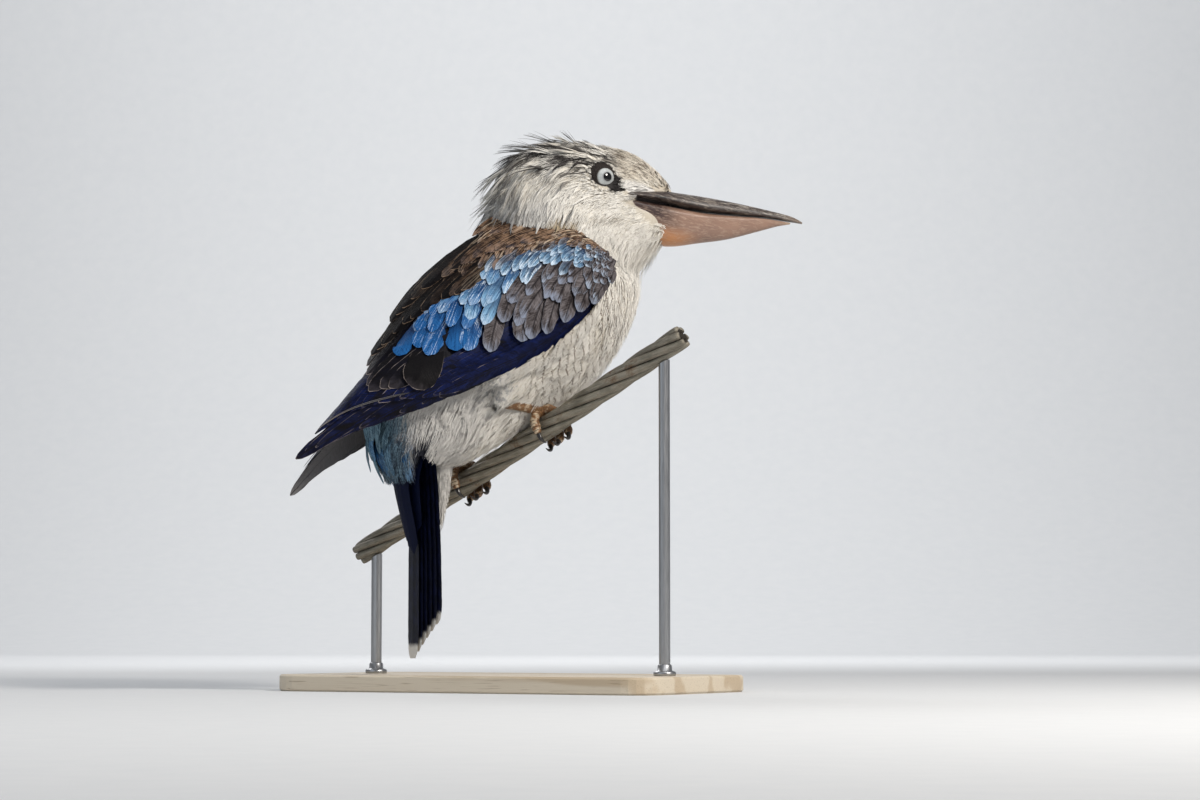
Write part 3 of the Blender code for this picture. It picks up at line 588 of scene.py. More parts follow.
# %% Wood and rod
wood = Finish("oiled_ash", Coat_Weight=0.15, Coat_Roughness=0.35)
where = wood.node("Mapping", Vector=wood.place(), Rotation=(0, 0, -CABLE_YAW))
long_way = wood.scaled(where, (1.0, 9.0, 9.0))
wander = wood.noise(long_way, 5.0, 3.0)
board_x, board_y, _ = wood.parts(where)
rings = ((board_y * 95.0 + wander * 5.5 + board_x * 1.5) * 2.2).wave()
pores = wood.noise(wood.scaled(where, (1.0, 32.0, 32.0)), 55.0, 3.0)
late = rings.ease(0.1, 0.95)
grain = wood.mix((214, 202, 182), (186, 166, 138), late * 0.7 + wander * 0.2)
grain = grain.mix((138, 116, 90), pores.ease(0.60, 0.72) * 0.55)
wood.drive(Base_Color=grain, Roughness=0.42 + pores * 0.25, Normal=wood.bump(late * 0.4 - pores, 0.12))

rod = Finish("brushed_rod", Metallic=1.0)
lines = rod.noise(rod.scaled(rod.place(), (1, 1, 0.04)), 2600.0, 3.0)
rod.drive(
    Base_Color=rod.mix((150, 151, 153), (196, 197, 199), lines),
    Roughness=0.24 + lines * 0.2,
    Normal=rod.bump(lines, 0.03),
)
for name, finish in (("stand_base", wood), ("stand_rod_low", rod), ("stand_rod_high", rod)):
    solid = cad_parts[name]
    solid.data.materials.clear()
    solid.data.materials.append(finish.material)

# %% Collars
BASE_TOP = 9.0
ROD_INSET = 13.0
COLLAR_SIDES = 40
# Height and radius of each ring of a collar.
COLLAR = ((0.0, 5.6), (0.5, 6.0), (1.8, 6.0), (2.4, 5.4), (2.8, 4.0), (5.6, 3.7), (6.0, 3.3))


def build_collars():
    for name, along in (("low", CABLE_LOW + ROD_INSET), ("high", CABLE_HIGH - ROD_INSET)):
        foot = round_cable(along, 0, 0) * (1, 1, 0)
        path = [foot + (0, 0, BASE_TOP + height) for height, _ in COLLAR]
        rings = sweep(path, [radius for _, radius in COLLAR], COLLAR_SIDES, (1, 0, 0))
        collar = rings_mesh(f"collar_{name}", rings, rod.material)


build_collars()

# %% [markdown]
# ## Bill
# A kookaburra's bill is two heavy horn sheaths. The upper is black-brown, ridged along the top with a
# painted highlight on the ridge, and scratched pale by use; the lower is a pinkish horn with a painted
# warm glow under its root, painted shade over its root by the gape, and pale at the tip. Both
# are lofts of egg-shaped rings through the same stations as the solids, read finely, with the cutting
# edge drawn out along the mouth line.

# %% Bill stations
# Forward, top, bottom and half width of each ring, in the head's directions.
UPPER_BILL = (
    (15, 8.6, 6.2, 20.6), (28, 11.6, 7, 18.9), (42, 15, 7.8, 15.6), (
        54, 15.8, 7.7, 13.2,
    ), (70, 16.4, 7.8, 10.8),
    (90, 16.3, 9.6, 7.6), (107, 15.7, 11.2, 4.8), (121, 14.7, 11.5, 2.6), (128.4, 12.6, 11.6, 0.6),
)
LOWER_BILL = (
    (20, 6, -3, 19.2), (34, 6.9, -11, 16.4), (
        46, 7.3, -14.4, 13.8,
    ), (56, 7.2, -13.8, 12), (70, 7.3, -9.6, 9.6),
    (86, 8.8, -4.7, 6.8), (102, 10.5, 2.2, 4.2), (114, 11, 7.6, 2.4), (121.5, 11.1, 10.2, 0.8),
)
UPPER_WAIST, LOWER_WAIST = 0.22, 0.80
BILL_ROUNDNESS = 0.85
BILL_SIDES = 72
BILL_ROWS = 170


def bill_rings(stations, waist_share):
    forward, top, bottom, half = resample(stations, BILL_ROWS).T[..., None]
    waist = blend(bottom, top, waist_share)
    angle = ring_angles(BILL_SIDES)
    cosine, sine = np.cos(angle), np.sin(angle)
    reach = np.where(cosine > 0, top - waist, waist - bottom)
    across = np.sign(sine) * np.abs(sine) ** BILL_ROUNDNESS * half
    return np.stack(np.broadcast_arrays(forward, across, waist + reach * cosine), -1)


# %% Horn


def horn(name, body, scratch, tip, scratch_share):
    """Horn with long growth lines, fine scratches and small chips."""
    made = Finish(name, Coat_Weight=0.25, Coat_Roughness=0.22)
    spot = made.vector("on_bill")
    forward, across, up = made.parts(spot)
    stretched = (forward * 0.12, across, up)
    lines = made.noise(stretched, 0.9, 5.0, 0.65)
    cloud = made.noise(spot, 0.09, 3.0)
    slant = made.noise((forward * 0.22 + up * 0.5, across * 0.4, up * 0.9), 0.9, 5.0, 0.7)
    worn = lines.ease(0.50, 0.62) * cloud.ease(0.30, 0.55)
    nicks = slant.ease(0.55, 0.61)
    tone = body(made, forward, across, up, cloud)
    tone = tone.mix(scratch, (worn * 0.6 + nicks * 0.5).lower(1.0) * scratch_share)
    tone = tone.mix(tip, forward.ease(112.0, 127.0) * 0.7)
    made.drive(
        Base_Color=tone,
        Roughness=0.34 + lines * 0.22 + nicks * 0.1,
        Normal=made.bump(lines * 0.6 - nicks * 0.35, 0.22),
    )
    return made


def upper_tone(made, forward, across, up, cloud):
    base = made.mix((36, 30, 30), (62, 50, 46), cloud)
    ridge_highlight = (up - forward * 0.004).ease(14.4, 16.2)
    scuffed = made.noise((forward * 0.10, across * 0.9, up * 0.9), 1.3, 4.0, 0.7)
    high = up.ease(11.0, 14.5) * forward.ease(44.0, 58.0)
    # Painted highlight along the ridge of the upper bill.
    base = base.mix((78, 68, 62), ridge_highlight * 0.35)
    nostril = oval(forward - 41.2, up - 9.9 + forward * 0.02 - 0.8, 3.8, 0.9)
    base = base.mix((8, 6, 6), nostril.ease(1.0, 0.5))
    return base.mix((186, 178, 168), scuffed.ease(0.50, 0.60) * high * 0.75)


def lower_tone(made, forward, across, up, cloud):
    base = made.mix((158, 124, 104), (124, 98, 86), cloud)
    # Painted warm glow, as of light through the horn, along the underside towards the root.
    warm_glow = (up + forward * 0.02).ease(-2.0, -11.0) * forward.ease(76.0, 52.0)
    base = base.mix((196, 132, 78), warm_glow * 0.85)
    # Painted shade, dark maroon, over the root of the lower bill by the gape.
    gape_root_shade = (up + forward * 0.22).ease(2.0, 9.0) * (forward + cloud * 12.0).ease(66.0, 46.0)
    return base.mix((40, 20, 22), gape_root_shade * 0.95)


upper_horn = horn("upper_horn", upper_tone, (158, 146, 134), (120, 104, 92), 0.8)
lower_horn = horn("lower_horn", lower_tone, (196, 170, 150), (206, 186, 160), 0.5)


def build_bill():
    for name, stations, waist, finish in (
        ("upper", UPPER_BILL, UPPER_WAIST, upper_horn),
        ("lower", LOWER_BILL, LOWER_WAIST, lower_horn),
    ):
        local = bill_rings(stations, waist)
        made = rings_mesh(f"bill_{name}_horn", head_place(local), finish.material, on_bill=local)
        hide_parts(f"bill_{name}")


build_bill()

# %% [markdown]
# ## Eyes and lids
# The pale iris with its small black pupil gives this species its stare. The ball bulges a little over
# the iris and has a wet coat. Two bare dark lids close on it, thick rims that roll inwards, so the eye
# sits in the head and not on it.

# %% Eye places
EYE_FORWARD, EYE_SIDE, EYE_UP = 6.4, 14.0, 13.8
EYE_RADIUS = 8.0
EYE_OPENING = 5.8
GAZE_FORWARD = math.radians(14)
GAZE_UP = math.radians(3)
EYE_ROWS, LID_ROWS, EYE_SIDES = 44, 34, 56
# Each lid row: distance from the eye's axis, and height along it over the rim of the opening.
LID_ROLL = (
    (5.75, -0.7), (5.62, 0.15), (5.8, 0.55), (6.15, 0.55), (6.55, 0.1), (6.9, -0.1), (7.3, -0.5),
    (7.8, -1.1), (8.4, -2.0), (9.2, -3.4),
)
SIDES = {"right": -1, "left": 1}


def eye_axes(side):
    """Centre of the ball and its directions: outward, back and up. side is -1 on the right."""
    outward = unit(np.array((math.sin(GAZE_FORWARD), side * math.cos(GAZE_FORWARD), math.sin(GAZE_UP))))
    up = unit(np.array((0.0, 0.0, 1.0)) - outward * outward[2])
    back = np.cross(up, outward) * side
    centre = np.array((EYE_FORWARD, side * EYE_SIDE, EYE_UP))
    return centre, outward, back, up


# %% Iris and lid finishes
eye = Finish("wet_eye", Roughness=0.08, Coat_Weight=1.0, Coat_Roughness=0.02, IOR=1.38)
off_centre, round_eye, _ = eye.parts("on_eye")
rays = eye.noise(
    (round_eye.wave() * 3.0, (round_eye + math.pi / 2).wave() * 3.0, off_centre * 0.4), 3.2, 4.0, 0.7,
)
iris = eye.mix((150, 156, 158), (206, 208, 206), rays)
iris = iris.mix((132, 132, 128), off_centre.ease(4.6, 5.3))
iris = iris.mix((140, 142, 142), off_centre.ease(3.4, 2.6))
iris = iris.mix((6, 6, 7), off_centre.ease(2.6, 2.4))
iris = iris.mix((14, 12, 12), off_centre.ease(5.25, 5.5))
eye.drive(Base_Color=iris)

lid_skin = Finish("lid_skin", Roughness=0.75, Specular_IOR_Level=0.2)
pebbles = lid_skin.node("TexVoronoi", {"feature": "SMOOTH_F1"}, Vector=lid_skin.place(), Scale=1500.0)
lid_skin.drive(
    Base_Color=lid_skin.mix((22, 19, 18), (58, 50, 46), pebbles),
    Normal=lid_skin.bump(pebbles, 0.25),
)


def build_eye(name, side):
    centre, outward, back, up = eye_axes(side)
    around = ring_angles(EYE_SIDES)
    spokes = back * np.cos(around)[:, None] + up * np.sin(around)[:, None]

    def in_world(height, away):
        """Rings round the eye's axis, from a height along it and a distance from it."""
        height, away = np.broadcast_arrays(height, away + 0 * around)
        return head_place(centre + outward * height[..., None] + spokes * away[..., None])

    polar = np.linspace(0.0, 2.2, EYE_ROWS)[:, None]
    radius = EYE_RADIUS + 0.55 * np.exp(-((polar / 0.42) ** 4)) - 0.1
    off = np.sin(polar) * radius
    carried = np.broadcast_arrays(np.where(np.cos(polar) > 0, off, EYE_RADIUS), around, 0.0)
    rings = in_world(np.cos(polar) * radius, off)
    ball = rings_mesh(f"eye_ball_{name}", rings, eye.material, on_eye=np.stack(carried, -1))
    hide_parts(f"eye_{name}")

    rim = math.sqrt(EYE_RADIUS ** 2 - EYE_OPENING ** 2)
    away, height = resample([(away, rim + height) for away, height in LID_ROLL], LID_ROWS).T[..., None]
    brow = 1 - 0.10 * np.sin(around) ** 2 - 0.03 * np.sin(around)
    away = away * (1 + (brow - 1) * np.clip((9.0 - away) / 4, 0, 1))
    folds = 0.08 * np.sin(away * 9.0 + 0.6 * np.sin(around * 5)) * np.clip((away - 6.1) / 0.6, 0, 1)
    rows = grid_faces(LID_ROWS, EYE_SIDES, closed=True)
    piece(f"lids_{name}", in_world(height + folds, away), rows, lid_skin.material)


for name, side in SIDES.items():
    build_eye(name, side)

# %% [markdown]
# ## Feet
# Kingfishers have short legs and weak feet with broad soles. Each toe is a swept tube whose radius
# swells at the joints; scutes, the broad horny plates of its upper side, are rings pressed into it,
# and the sides are pebbled. The claws are separate, glossy and black.

# %% Foot measures
FOOT_ALONG = {"right": 27.5, "left": -31.5}
ANKLES = {"right": (-21.5, -29.5, 24.8), "left": (-31, 17.5, 6)}
HIPS = {"right": (-4, -21, 50), "left": (-10, 22, 36)}
# Root and tip along the cable, and the angle round it where the toe ends.
TOES = {
    "inner": (-3.8, -6, 148), "middle": (0.2, 0.5, 163), "outer": (4.2, 6.8, 148),
    "hind": (-0.5, -2.5, -110),
}
FRONT_START = 12.0
TOE_RADIUS = 2.5
TARSUS_RADIUS = 2.7
TOE_REACH = 9.35
CLAW_TURN = 42.0
CLAW_RADII = (1.35, 1.3, 1.05, 0.65, 0.15)
CLAW_ROOT = -0.12
SCUTES_PER_MM = 0.62
SKIN_SIDES = 24
BRIDGE_STEPS = 8

# %% Scaly skin and claw horn
scaly = Finish("scaly_skin", Coat_Weight=0.1, Coat_Roughness=0.4)
foot_along, foot_round, _ = scaly.parts("on_foot")
cells = scaly.node("TexVoronoi", {"feature": "DISTANCE_TO_EDGE"}, Vector=scaly.place(), Scale=1150.0)
plate = (foot_along * SCUTES_PER_MM).fold()
plate_edge = abs(plate - 0.5).ease(0.36, 0.5)
upper = abs(foot_round).ease(1.35, 0.9)
crack = cells.ease(0.10, 0.02) * (1 - upper) + plate_edge * upper
mottle = scaly.noise(scaly.place(), 420.0, 4.0)
hide = scaly.mix((96, 66, 40), (160, 116, 72), mottle)
hide = hide.mix((208, 192, 166), (mottle + upper * 0.1).ease(0.54, 0.66) * 0.75)
hide = hide.mix((52, 36, 24), crack * 0.8)
scaly.drive(Base_Color=hide, Roughness=0.5 + crack * 0.25, Normal=scaly.bump(1 - crack, 0.35))

claw_horn = Finish("claw_horn", Coat_Weight=0.6, Coat_Roughness=0.12)
claw_lines = claw_horn.noise(claw_horn.place(), 700.0, 4.0)
claw_horn.drive(
    Base_Color=claw_horn.mix((14, 12, 12), (38, 32, 30), claw_lines),
    Roughness=0.22 + claw_lines * 0.15,
    Normal=claw_horn.bump(claw_lines, 0.08),
)

# %% Legs, toes and claws


def skin_tube(name, path, radii, start):
    """A scaly tube: on_foot holds the distance along it and the angle round it from its upper side."""
    ahead = unit(np.gradient(path, axis=0))
    on_axis = CABLE_MIDDLE + ((path - CABLE_MIDDLE) @ CABLE_AXIS)[:, None] * CABLE_AXIS
    outward = path - on_axis
    outward = unit(outward - ahead * (outward * ahead).sum(-1, keepdims=True))
    beside = np.cross(ahead, outward)
    steps = start + distance_along(path)[:, None]
    around = np.linspace(-math.pi, math.pi, SKIN_SIDES, endpoint=False)
    scute = 0.09 * np.cos(FULL_TURN * SCUTES_PER_MM * steps) * (np.abs(around) < 1.2)
    sole = 1 - 0.10 * (np.cos(around) < -0.3)
    reach = (radii[:, None] * sole - scute * 0.8)[..., None]
    ring = np.cos(around)[:, None] * outward[:, None] + np.sin(around)[:, None] * beside[:, None]
    carried = np.stack(np.broadcast_arrays(steps, around, 0.0), -1)
    return rings_mesh(name, path[:, None] + ring * reach, scaly.material, on_foot=carried)


def build_foot(foot):
    over = round_cable(FOOT_ALONG[foot], 0, TOE_REACH + 0.8)
    ankle = body_place(ANKLES[foot])
    shares = np.linspace(0.17, 1.04, 26)
    path = ankle + (over - ankle) * shares[:, None]
    radii = TARSUS_RADIUS * np.interp(shares, (0, 0.15, 0.5, 0.85, 1.04), (1.1, 1.0, 0.92, 1.1, 1.15))
    parts = [skin_tube("tarsus", path, radii, 0.0)]
    for toe, (root, tip, end) in TOES.items():
        share = np.linspace(0, 1, 60)
        start = math.copysign(FRONT_START, end)
        angle = np.radians(blend(start, end, share))
        swell = 1 + 0.09 * np.cos(share * FULL_TURN * (2.0 if toe == "hind" else 3.0)) ** 2
        taper = np.interp(share, (0, 0.8, 0.93, 1.0), (1.02, 0.95, 0.86, 0.5))
        radii = TOE_RADIUS * swell * taper
        curl = round_cable(FOOT_ALONG[foot] + blend(root, tip, share), angle, TOE_REACH - 0.15 + 0 * share)
        path = np.concatenate([np.linspace(over, curl[0], BRIDGE_STEPS, endpoint=False), curl])
        radii = np.concatenate([np.full(BRIDGE_STEPS, radii[0]), radii])
        parts.append(skin_tube("toe", path, radii, 3.0))
        build_claw(foot, toe, root, tip, end)
    made = joined(f"leg_{foot}", parts)
    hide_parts(f"foot_{foot}")


def build_claw(foot, toe, root, tip, end):
    share = np.linspace(CLAW_ROOT, 1, 30)
    front = math.copysign(1.0, end)
    angle = np.radians(end - front + front * CLAW_TURN * share)
    radius = TOE_REACH + 1.5 * np.sin(math.pi * np.clip(share, 0, 1)) + 0.6 * share
    path = round_cable(FOOT_ALONG[foot] + tip, angle, radius)
    radii = np.interp(share, np.linspace(CLAW_ROOT, 1, len(CLAW_RADII)), CLAW_RADII)
    claw = rings_mesh(f"nail_{foot}_{toe}", sweep(path, radii, 20, CABLE_AXIS), claw_horn.material)
    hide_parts(f"claw_{foot}_{toe}")


for foot in SIDES:
    build_foot(foot)

# %% [markdown]
# ## Wings as a surface
# A folded wing is a curved shield. Three rails through its lower edge, its middle and its upper edge
# give a point for every pair of numbers: along, 0 at the wrist and 1 at the tip, and across, 0 at the
# lower edge and 1 at the upper one. Every feather of the wing is then a short route on that shield.

# %% The wing's shield
LOWER_RAIL = (
    (38, -39, 86), (26, -43, 71), (-2, -45, 51), (-34, -44, 36), (-69, -38, 20), (-98, -28, 6),
    (-131, -19, -9),
)
MIDDLE_RAIL = (
    (42, -40, 97), (17, -46, 88), (-20, -46, 70), (-54, -43, 53), (-83, -35, 34), (-107, -27, 15),
    (-133, -18, -7),
)
UPPER_RAIL = (
    (37, -36, 107), (18, -25, 114), (-19, -14, 106), (-56, -10, 80), (-87, -12, 45), (-109, -16, 19),
    (-134, -17, -5),
)
LAST_RAIL = len(LOWER_RAIL) - 1
WING_PIVOT = np.array((38.0, 0.0, 86.0))
WING_DROOP = turn(0, math.radians(-6))
MIRROR = np.array((1, -1, 1))


def shield(along, across):
    """The right wing's shield in the body's directions, before any feather."""
    along, across = np.broadcast_arrays(np.asarray(along, float), np.asarray(across, float))
    low, middle, high = (catmull(rail, along * LAST_RAIL) for rail in (LOWER_RAIL, MIDDLE_RAIL, UPPER_RAIL))
    across = across[..., None]
    return low + (4 * middle - 3 * low - high) * across + (low + high - 2 * middle) * 2 * across ** 2


def shield_out(along, across):
    back, rise, _ = slopes(shield, along, across)
    return unit(np.cross(rise, back))


def drooped(points):
    """The left wing hangs a little lower than the right one's mirror image."""
    return (points - WING_PIVOT) @ WING_DROOP.T + WING_PIVOT


# %% One vane
# Columns across a feather, from rim to rim: close together at the shaft, which stands up a little.
VANE_COLUMNS = np.array((-1.0, -0.86, -0.5, -0.16, 0.0, 0.16, 0.5, 0.86, 1.0))
BARB_SLANT = 0.9
SHAFT_RISE = 0.22
CELLS = 24


def profile(shape, rows):
    """Half width as a share of the widest, from a short table of (reach, width)."""
    reach = np.linspace(0, 1, rows)
    return np.interp(reach, [r for r, _ in shape], [w for _, w in shape])


def both_faces(top, under):
    """A feather's upper face and its under face as one row of rings."""
    return np.concatenate([top, under[:, -2:0:-1]], 1)


class Vanes:
    """Collects many feathers of one piece, then writes them as one mesh."""

    def __init__(self):
        self.lists = {key: [] for key in ("points", "faces", "places", "normals", "vane", "barb", "kind")}
        self.count = 0
        self.feathers = 0

    def add(
        self, path, normals, widths, draw, camber=0.10, thickness=0.30, notch=0.0, kind=(0, 0, 0),
        kind_below=None,
    ):
        """One feather along a path. draw is a random number of its own; kind_below is for its underside."""
        rows = len(path)
        rng = np.random.default_rng(int(draw * 1e6) + 11)
        ahead = unit(np.gradient(path, axis=0))
        beside = unit(np.cross(normals, ahead))
        normals = np.cross(ahead, beside)[:, None]
        widths = np.asarray(widths)[:, None]
        ragged = 1 - notch * rng.random((rows, len(VANE_COLUMNS))) ** 2 * (np.abs(VANE_COLUMNS) > 0.8)
        across = VANE_COLUMNS * widths * ragged
        lift = (
            SHAFT_RISE * np.exp(-((VANE_COLUMNS / 0.1) ** 2)) * (widths > 1)
            - camber * widths * VANE_COLUMNS ** 2
        )
        top = path[:, None] + beside[:, None] * across[..., None] + normals * lift[..., None]
        thin = thickness * (1 - 0.6 * np.abs(VANE_COLUMNS)) * np.clip(widths / widths.max() * 1.6, 0.25, 1)
        ring = drawn_together(both_faces(top, top - normals * thin[..., None]))
        facing = unit(np.cross(np.gradient(top, axis=0), np.gradient(top, axis=1)))
        outward = np.sign((facing * normals).sum(-1, keepdims=True))
        facing = unit(facing * outward + normals)
        length = distance_along(path)[:, None]
        rim = np.minimum(np.abs(widths) - np.abs(across), length[-1] - length)
        vane = np.stack(np.broadcast_arrays(VANE_COLUMNS, length / length[-1], draw), -1)
        barb = np.stack([length - np.abs(across) * BARB_SLANT, across, rim], -1)
        kinds = np.tile(np.asarray(kind, float), (*ring.shape[:2], 1))
        if kind_below is not None:
            kinds[:, len(VANE_COLUMNS):] = kind_below
        vane = twice_ended(both_faces(vane, vane))
        made = {
            "points": ring.reshape(-1, 3),
            "faces": grid_faces(*ring.shape[:2], closed=True)[:, ::-1] + self.count,
            "places": self.cell(vane),
            "normals": twice_ended(both_faces(facing, -facing)),
            "vane": vane,
            "barb": twice_ended(both_faces(barb, barb)),
            "kind": kinds.reshape(-1, 3),
        }
        for key, value in made.items():
            self.lists[key].append(value)
        self.count += len(made["points"])
        self.feathers += 1

    def cell(self, vane):
        """This feather's own cell of the bake map: its width and length laid flat."""
        row, column = divmod(self.feathers, CELLS)
        return np.stack([column + 0.5 + 0.42 * vane[:, 0], row + 0.06 + 0.88 * vane[:, 1]], -1) / CELLS

    def write(self, name, finish, slot, replaced=()):
        whole = {key: np.concatenate(value) for key, value in self.lists.items()}
        made = piece(name, whole.pop("points"), whole.pop("faces"), finish.material, **whole)
        if replaced:
            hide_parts(*replaced)
        print(name, self.feathers, "feathers", 2 * len(made.data.polygons), "triangles")
        return made


# %% [markdown]
# ## Feather finishes for wings and tail
# A vane is made of parallel barbs that leave the shaft at a slant. Each feather carries its own
# coordinates: how far across and along it a point lies, the distance along its barbs, and the distance
# to its rim. So one finish draws the barbs, the dark shaft and the pale rim of every feather of a
# kind, and three numbers per feather say how blue, how brown or grey, and how black it is.

# %% Wing and tail finishes


def vane_parts(made):
    """What all long feathers read: place along and across, a number of its own, barbs and clouds."""
    _, reach, draw = made.parts("vane")
    barb, across, rim = made.parts("barb")
    fibres = made.noise((barb * 1.5, across * 0.22 + draw * 90, draw * 40), 1.4, 3.0, 0.65)
    cloud = made.noise((barb * 0.10, across * 0.16 + draw * 50, draw * 30), 1.5, 2.0)
    return reach, draw, across, rim, fibres, cloud


def covert_finish():
    made = Finish("covert_feather", Specular_IOR_Level=0.08)
    reach, draw, across, rim, fibres, cloud = vane_parts(made)
    blue, brown, black = made.parts("kind")
    speckle = made.noise(made.place(), 230.0, 4.0, 0.65)
    strand = made.noise((across * 0.9 + draw * 60, reach * 2.0, draw * 20), 1.6, 3.0, 0.6)
    grey = made.mix(
        (40, 34, 34), (114, 108, 110), (fibres * 0.7 + cloud * 0.6 + strand * 0.3).ease(0.62, 1.05),
    )
    azure = made.mix((122, 166, 200), (36, 98, 160), (blue + cloud * 0.24 + draw * 0.06).ease(0.88, 1.12))
    azure = azure.mix((12, 46, 92), (fibres * 0.5 + strand * 0.7).ease(0.66, 0.44) * 0.8)
    azure = azure.mix((14, 40, 80), reach.ease(0.88, 0.55) * 0.7)
    tan = made.mix(
        (34, 23, 18), (138, 110, 88), (strand * 0.8 + speckle * 0.6 + fibres * 0.2).ease(0.70, 0.92),
    )
    tan = tan.mix((186, 168, 146), (strand + cloud * 0.3).ease(0.64, 0.76) * draw.ease(0.2, 0.8))
    jet = made.mix((3, 2, 3), (22, 16, 15), (fibres * 0.6 + speckle * 0.6).ease(0.50, 0.90))
    jet = jet.mix((74, 58, 46), strand.ease(0.60, 0.70) * draw.ease(0.4, 0.9) * 0.6)
    tone = grey.mix(azure, blue.ease(0.30, 0.75))
    tone = tone.mix(tan, brown)
    tone = tone.mix(jet, black)
    shaft = abs(across).ease(0.75, 0.15) * blue.ease(1.1, 0.3) * (1 - brown * 0.6)
    tone = tone.mix((22, 18, 22), shaft * reach.ease(1.0, 0.82) * 0.8)
    # Broad soft tips, grey-blue on the front feathers and nearly white on the pale blue ones.
    plain = (1 - brown * 0.85) * (1 - black * 0.9)
    tip = (reach + (cloud - 0.5) * 0.3 + (strand - 0.5) * 0.4).ease(0.80, 1.04)
    thin_rim = (rim + fibres * 1.2).ease(1.3, 0.5) * reach.ease(0.45, 0.8) * 0.6
    pale = made.mix((128, 136, 154), (190, 208, 226), blue.ease(0.1, 0.6))
    tone = tone.mix(
        pale, tip.higher(thin_rim) * plain * blue.ease(1.02, 0.60) * (draw + cloud).ease(0.15, 0.75),
    )
    # Painted highlights: thin pale streaks along the barbs of the blue feathers.
    highlight_streaks = (strand * 0.8 + fibres * 0.4).ease(0.64, 0.74) * blue.ease(0.25, 0.5)
    tone = tone.mix((222, 232, 242), highlight_streaks * plain * blue.ease(1.3, 0.8) * draw.ease(0.2, 0.6) * 0.75)
    line = (
        (rim + fibres * 0.3).ease(0.55, 0.28) * reach.ease(0.5, 0.85) * (cloud + draw * 0.4).ease(0.5, 0.8)
    )
    tone = tone.mix((150, 128, 108), line * (black * 0.7 + brown * 0.2))
    made.drive(Base_Color=tone, Roughness=0.62 - fibres * 0.15, Normal=made.bump(fibres, 0.22))
    return made


def flight_finish():
    made = Finish("flight_feather", Specular_IOR_Level=0.10)
    reach, draw, across, rim, fibres, cloud = vane_parts(made)
    blue, grey, black = made.parts("kind")
    navy = made.mix((6, 9, 32), (18, 34, 88), (fibres * 0.6 + cloud * 0.5).ease(0.40, 0.85))
    jet = made.mix((3, 3, 5), (17, 14, 17), fibres)
    tone = jet.mix(navy, blue * (cloud + draw * 0.3).ease(0.30, 0.60))
    tone = tone.mix(made.mix((88, 86, 88), (140, 138, 138), fibres), grey)
    shaft = abs(across).ease(0.40, 0.16)
    tone = tone.mix((14, 11, 14), shaft * 0.8)
    edge = (
        (rim + fibres * 0.3).ease(0.60, 0.30) * reach.ease(0.50, 0.85)
        * (cloud - blue * 0.25).ease(0.15, 0.40)
    )
    tone = tone.mix((158, 146, 140), edge * (1 - black) * (1 - blue * draw.ease(0.95, 0.6) * 0.8) * 0.75)
    tone = tone.mix(
        (92, 86, 90),
        (reach + (cloud - 0.5) * 0.2).ease(0.90, 1.02) * (1 - blue) * (1 - black) * (1 - grey) * 0.3,
    )
    made.drive(Base_Color=tone, Roughness=0.48 - fibres * 0.12, Normal=made.bump(fibres, 0.2))
    return made


def tail_finish():
    made = Finish("tail_feather", Specular_IOR_Level=0.22)
    reach, _, across, _, fibres, cloud = vane_parts(made)
    navy = made.mix((7, 8, 20), (18, 25, 60), (fibres * 0.6 + cloud * 0.5).ease(0.4, 0.85))
    shaft = abs(across).ease(0.45, 0.18)
    tone = navy.mix((10, 9, 12), shaft * 0.8)
    white = (reach + fibres * 0.02 + cloud * 0.02).ease(0.945, 0.972)
    tone = tone.mix((222, 216, 206), white)
    made.drive(Base_Color=tone, Roughness=0.46 - fibres * 0.12, Normal=made.bump(fibres, 0.2))
    return made


covert = covert_finish()
flight = flight_finish()
rectrix = tail_finish()

# %% [markdown]
# ## Wings
# Long feathers lie deepest: primaries, then secondaries, then the dark tertials near the back. A thin
# pale strip edges one of them, and one broad dark feather hangs over them. Rows of coverts close over
# all like tiles, each row pointing more steeply down than the wing itself. Each row is told by a curve
# through the tips of its feathers and a curve through their roots. Every feather leans over the one
# below it, its upper edge in and its lower edge out.

# %% Rows of the wing
LONG = ((0.0, 0.45), (0.15, 0.85), (0.5, 1.0), (0.85, 0.92), (0.94, 0.74), (0.985, 0.42), (1.0, 0.12))
POINTED = ((0.0, 0.45), (0.15, 0.85), (0.5, 1.0), (0.8, 0.85), (0.92, 0.58), (0.98, 0.3), (1.0, 0.08))
BROAD = ((0.0, 0.35), (0.3, 0.75), (0.65, 1.0), (0.82, 0.96), (0.92, 0.74), (0.975, 0.44), (1.0, 0.12))
ROUND = ((0.0, 0.5), (0.25, 0.9), (0.6, 1.0), (0.8, 0.94), (0.92, 0.72), (0.98, 0.4), (1.0, 0.12))


def zone(value, low, high):
    share = min(max((value - low) / (high - low), 0.0), 1.0)
    return share * share * (3 - 2 * share)


def covert_kind(along, across):
    """How azure, how brown and how black a covert is, by its tip's place on the wing."""
    pale = 0.62 * zone(across, 0.58, 0.70) * zone(along, 0.04, 0.14)
    azure = zone(along + (across - 0.6) * 0.25, 0.30, 0.40) * zone(across, 0.24, 0.40)
    deep = 0.80 + 0.25 * zone(along - (across - 0.6) * 0.1, 0.42, 0.52)
    black = zone(across + (along - 0.5) * 0.4, 0.82, 0.92) * zone(along, 0.34, 0.44)
    brown = max(zone(across + along * 0.10, 0.87, 0.94), black)
    blue = max(pale, azure * deep, 0.30 * zone(along, 0.28, 0.10))
    return blue * (1 - brown), brown, black


def scapular_kind(along, across):
    """Brown over the shoulder, black behind it."""
    return 0.0, 1.0, zone(along, 0.34, 0.48)


def flight_kind(blue, black=0.0, grey=0.0):
    return lambda along, across: (blue, grey, black)


class Row:
    """Feathers side by side on the shield: tips and roots are curves of (along, across)."""

    def __init__(
        self, name, count, tips, roots, half, out, shape=ROUND, rows=12, lean=0.16, kind=covert_kind,
        bow=0.0,
    ):
        self.name, self.count, self.tips, self.roots = name, count, tips, roots
        self.half, self.out, self.shape, self.rows = half, out, shape, rows
        self.lean, self.kind, self.bow = lean, kind, bow


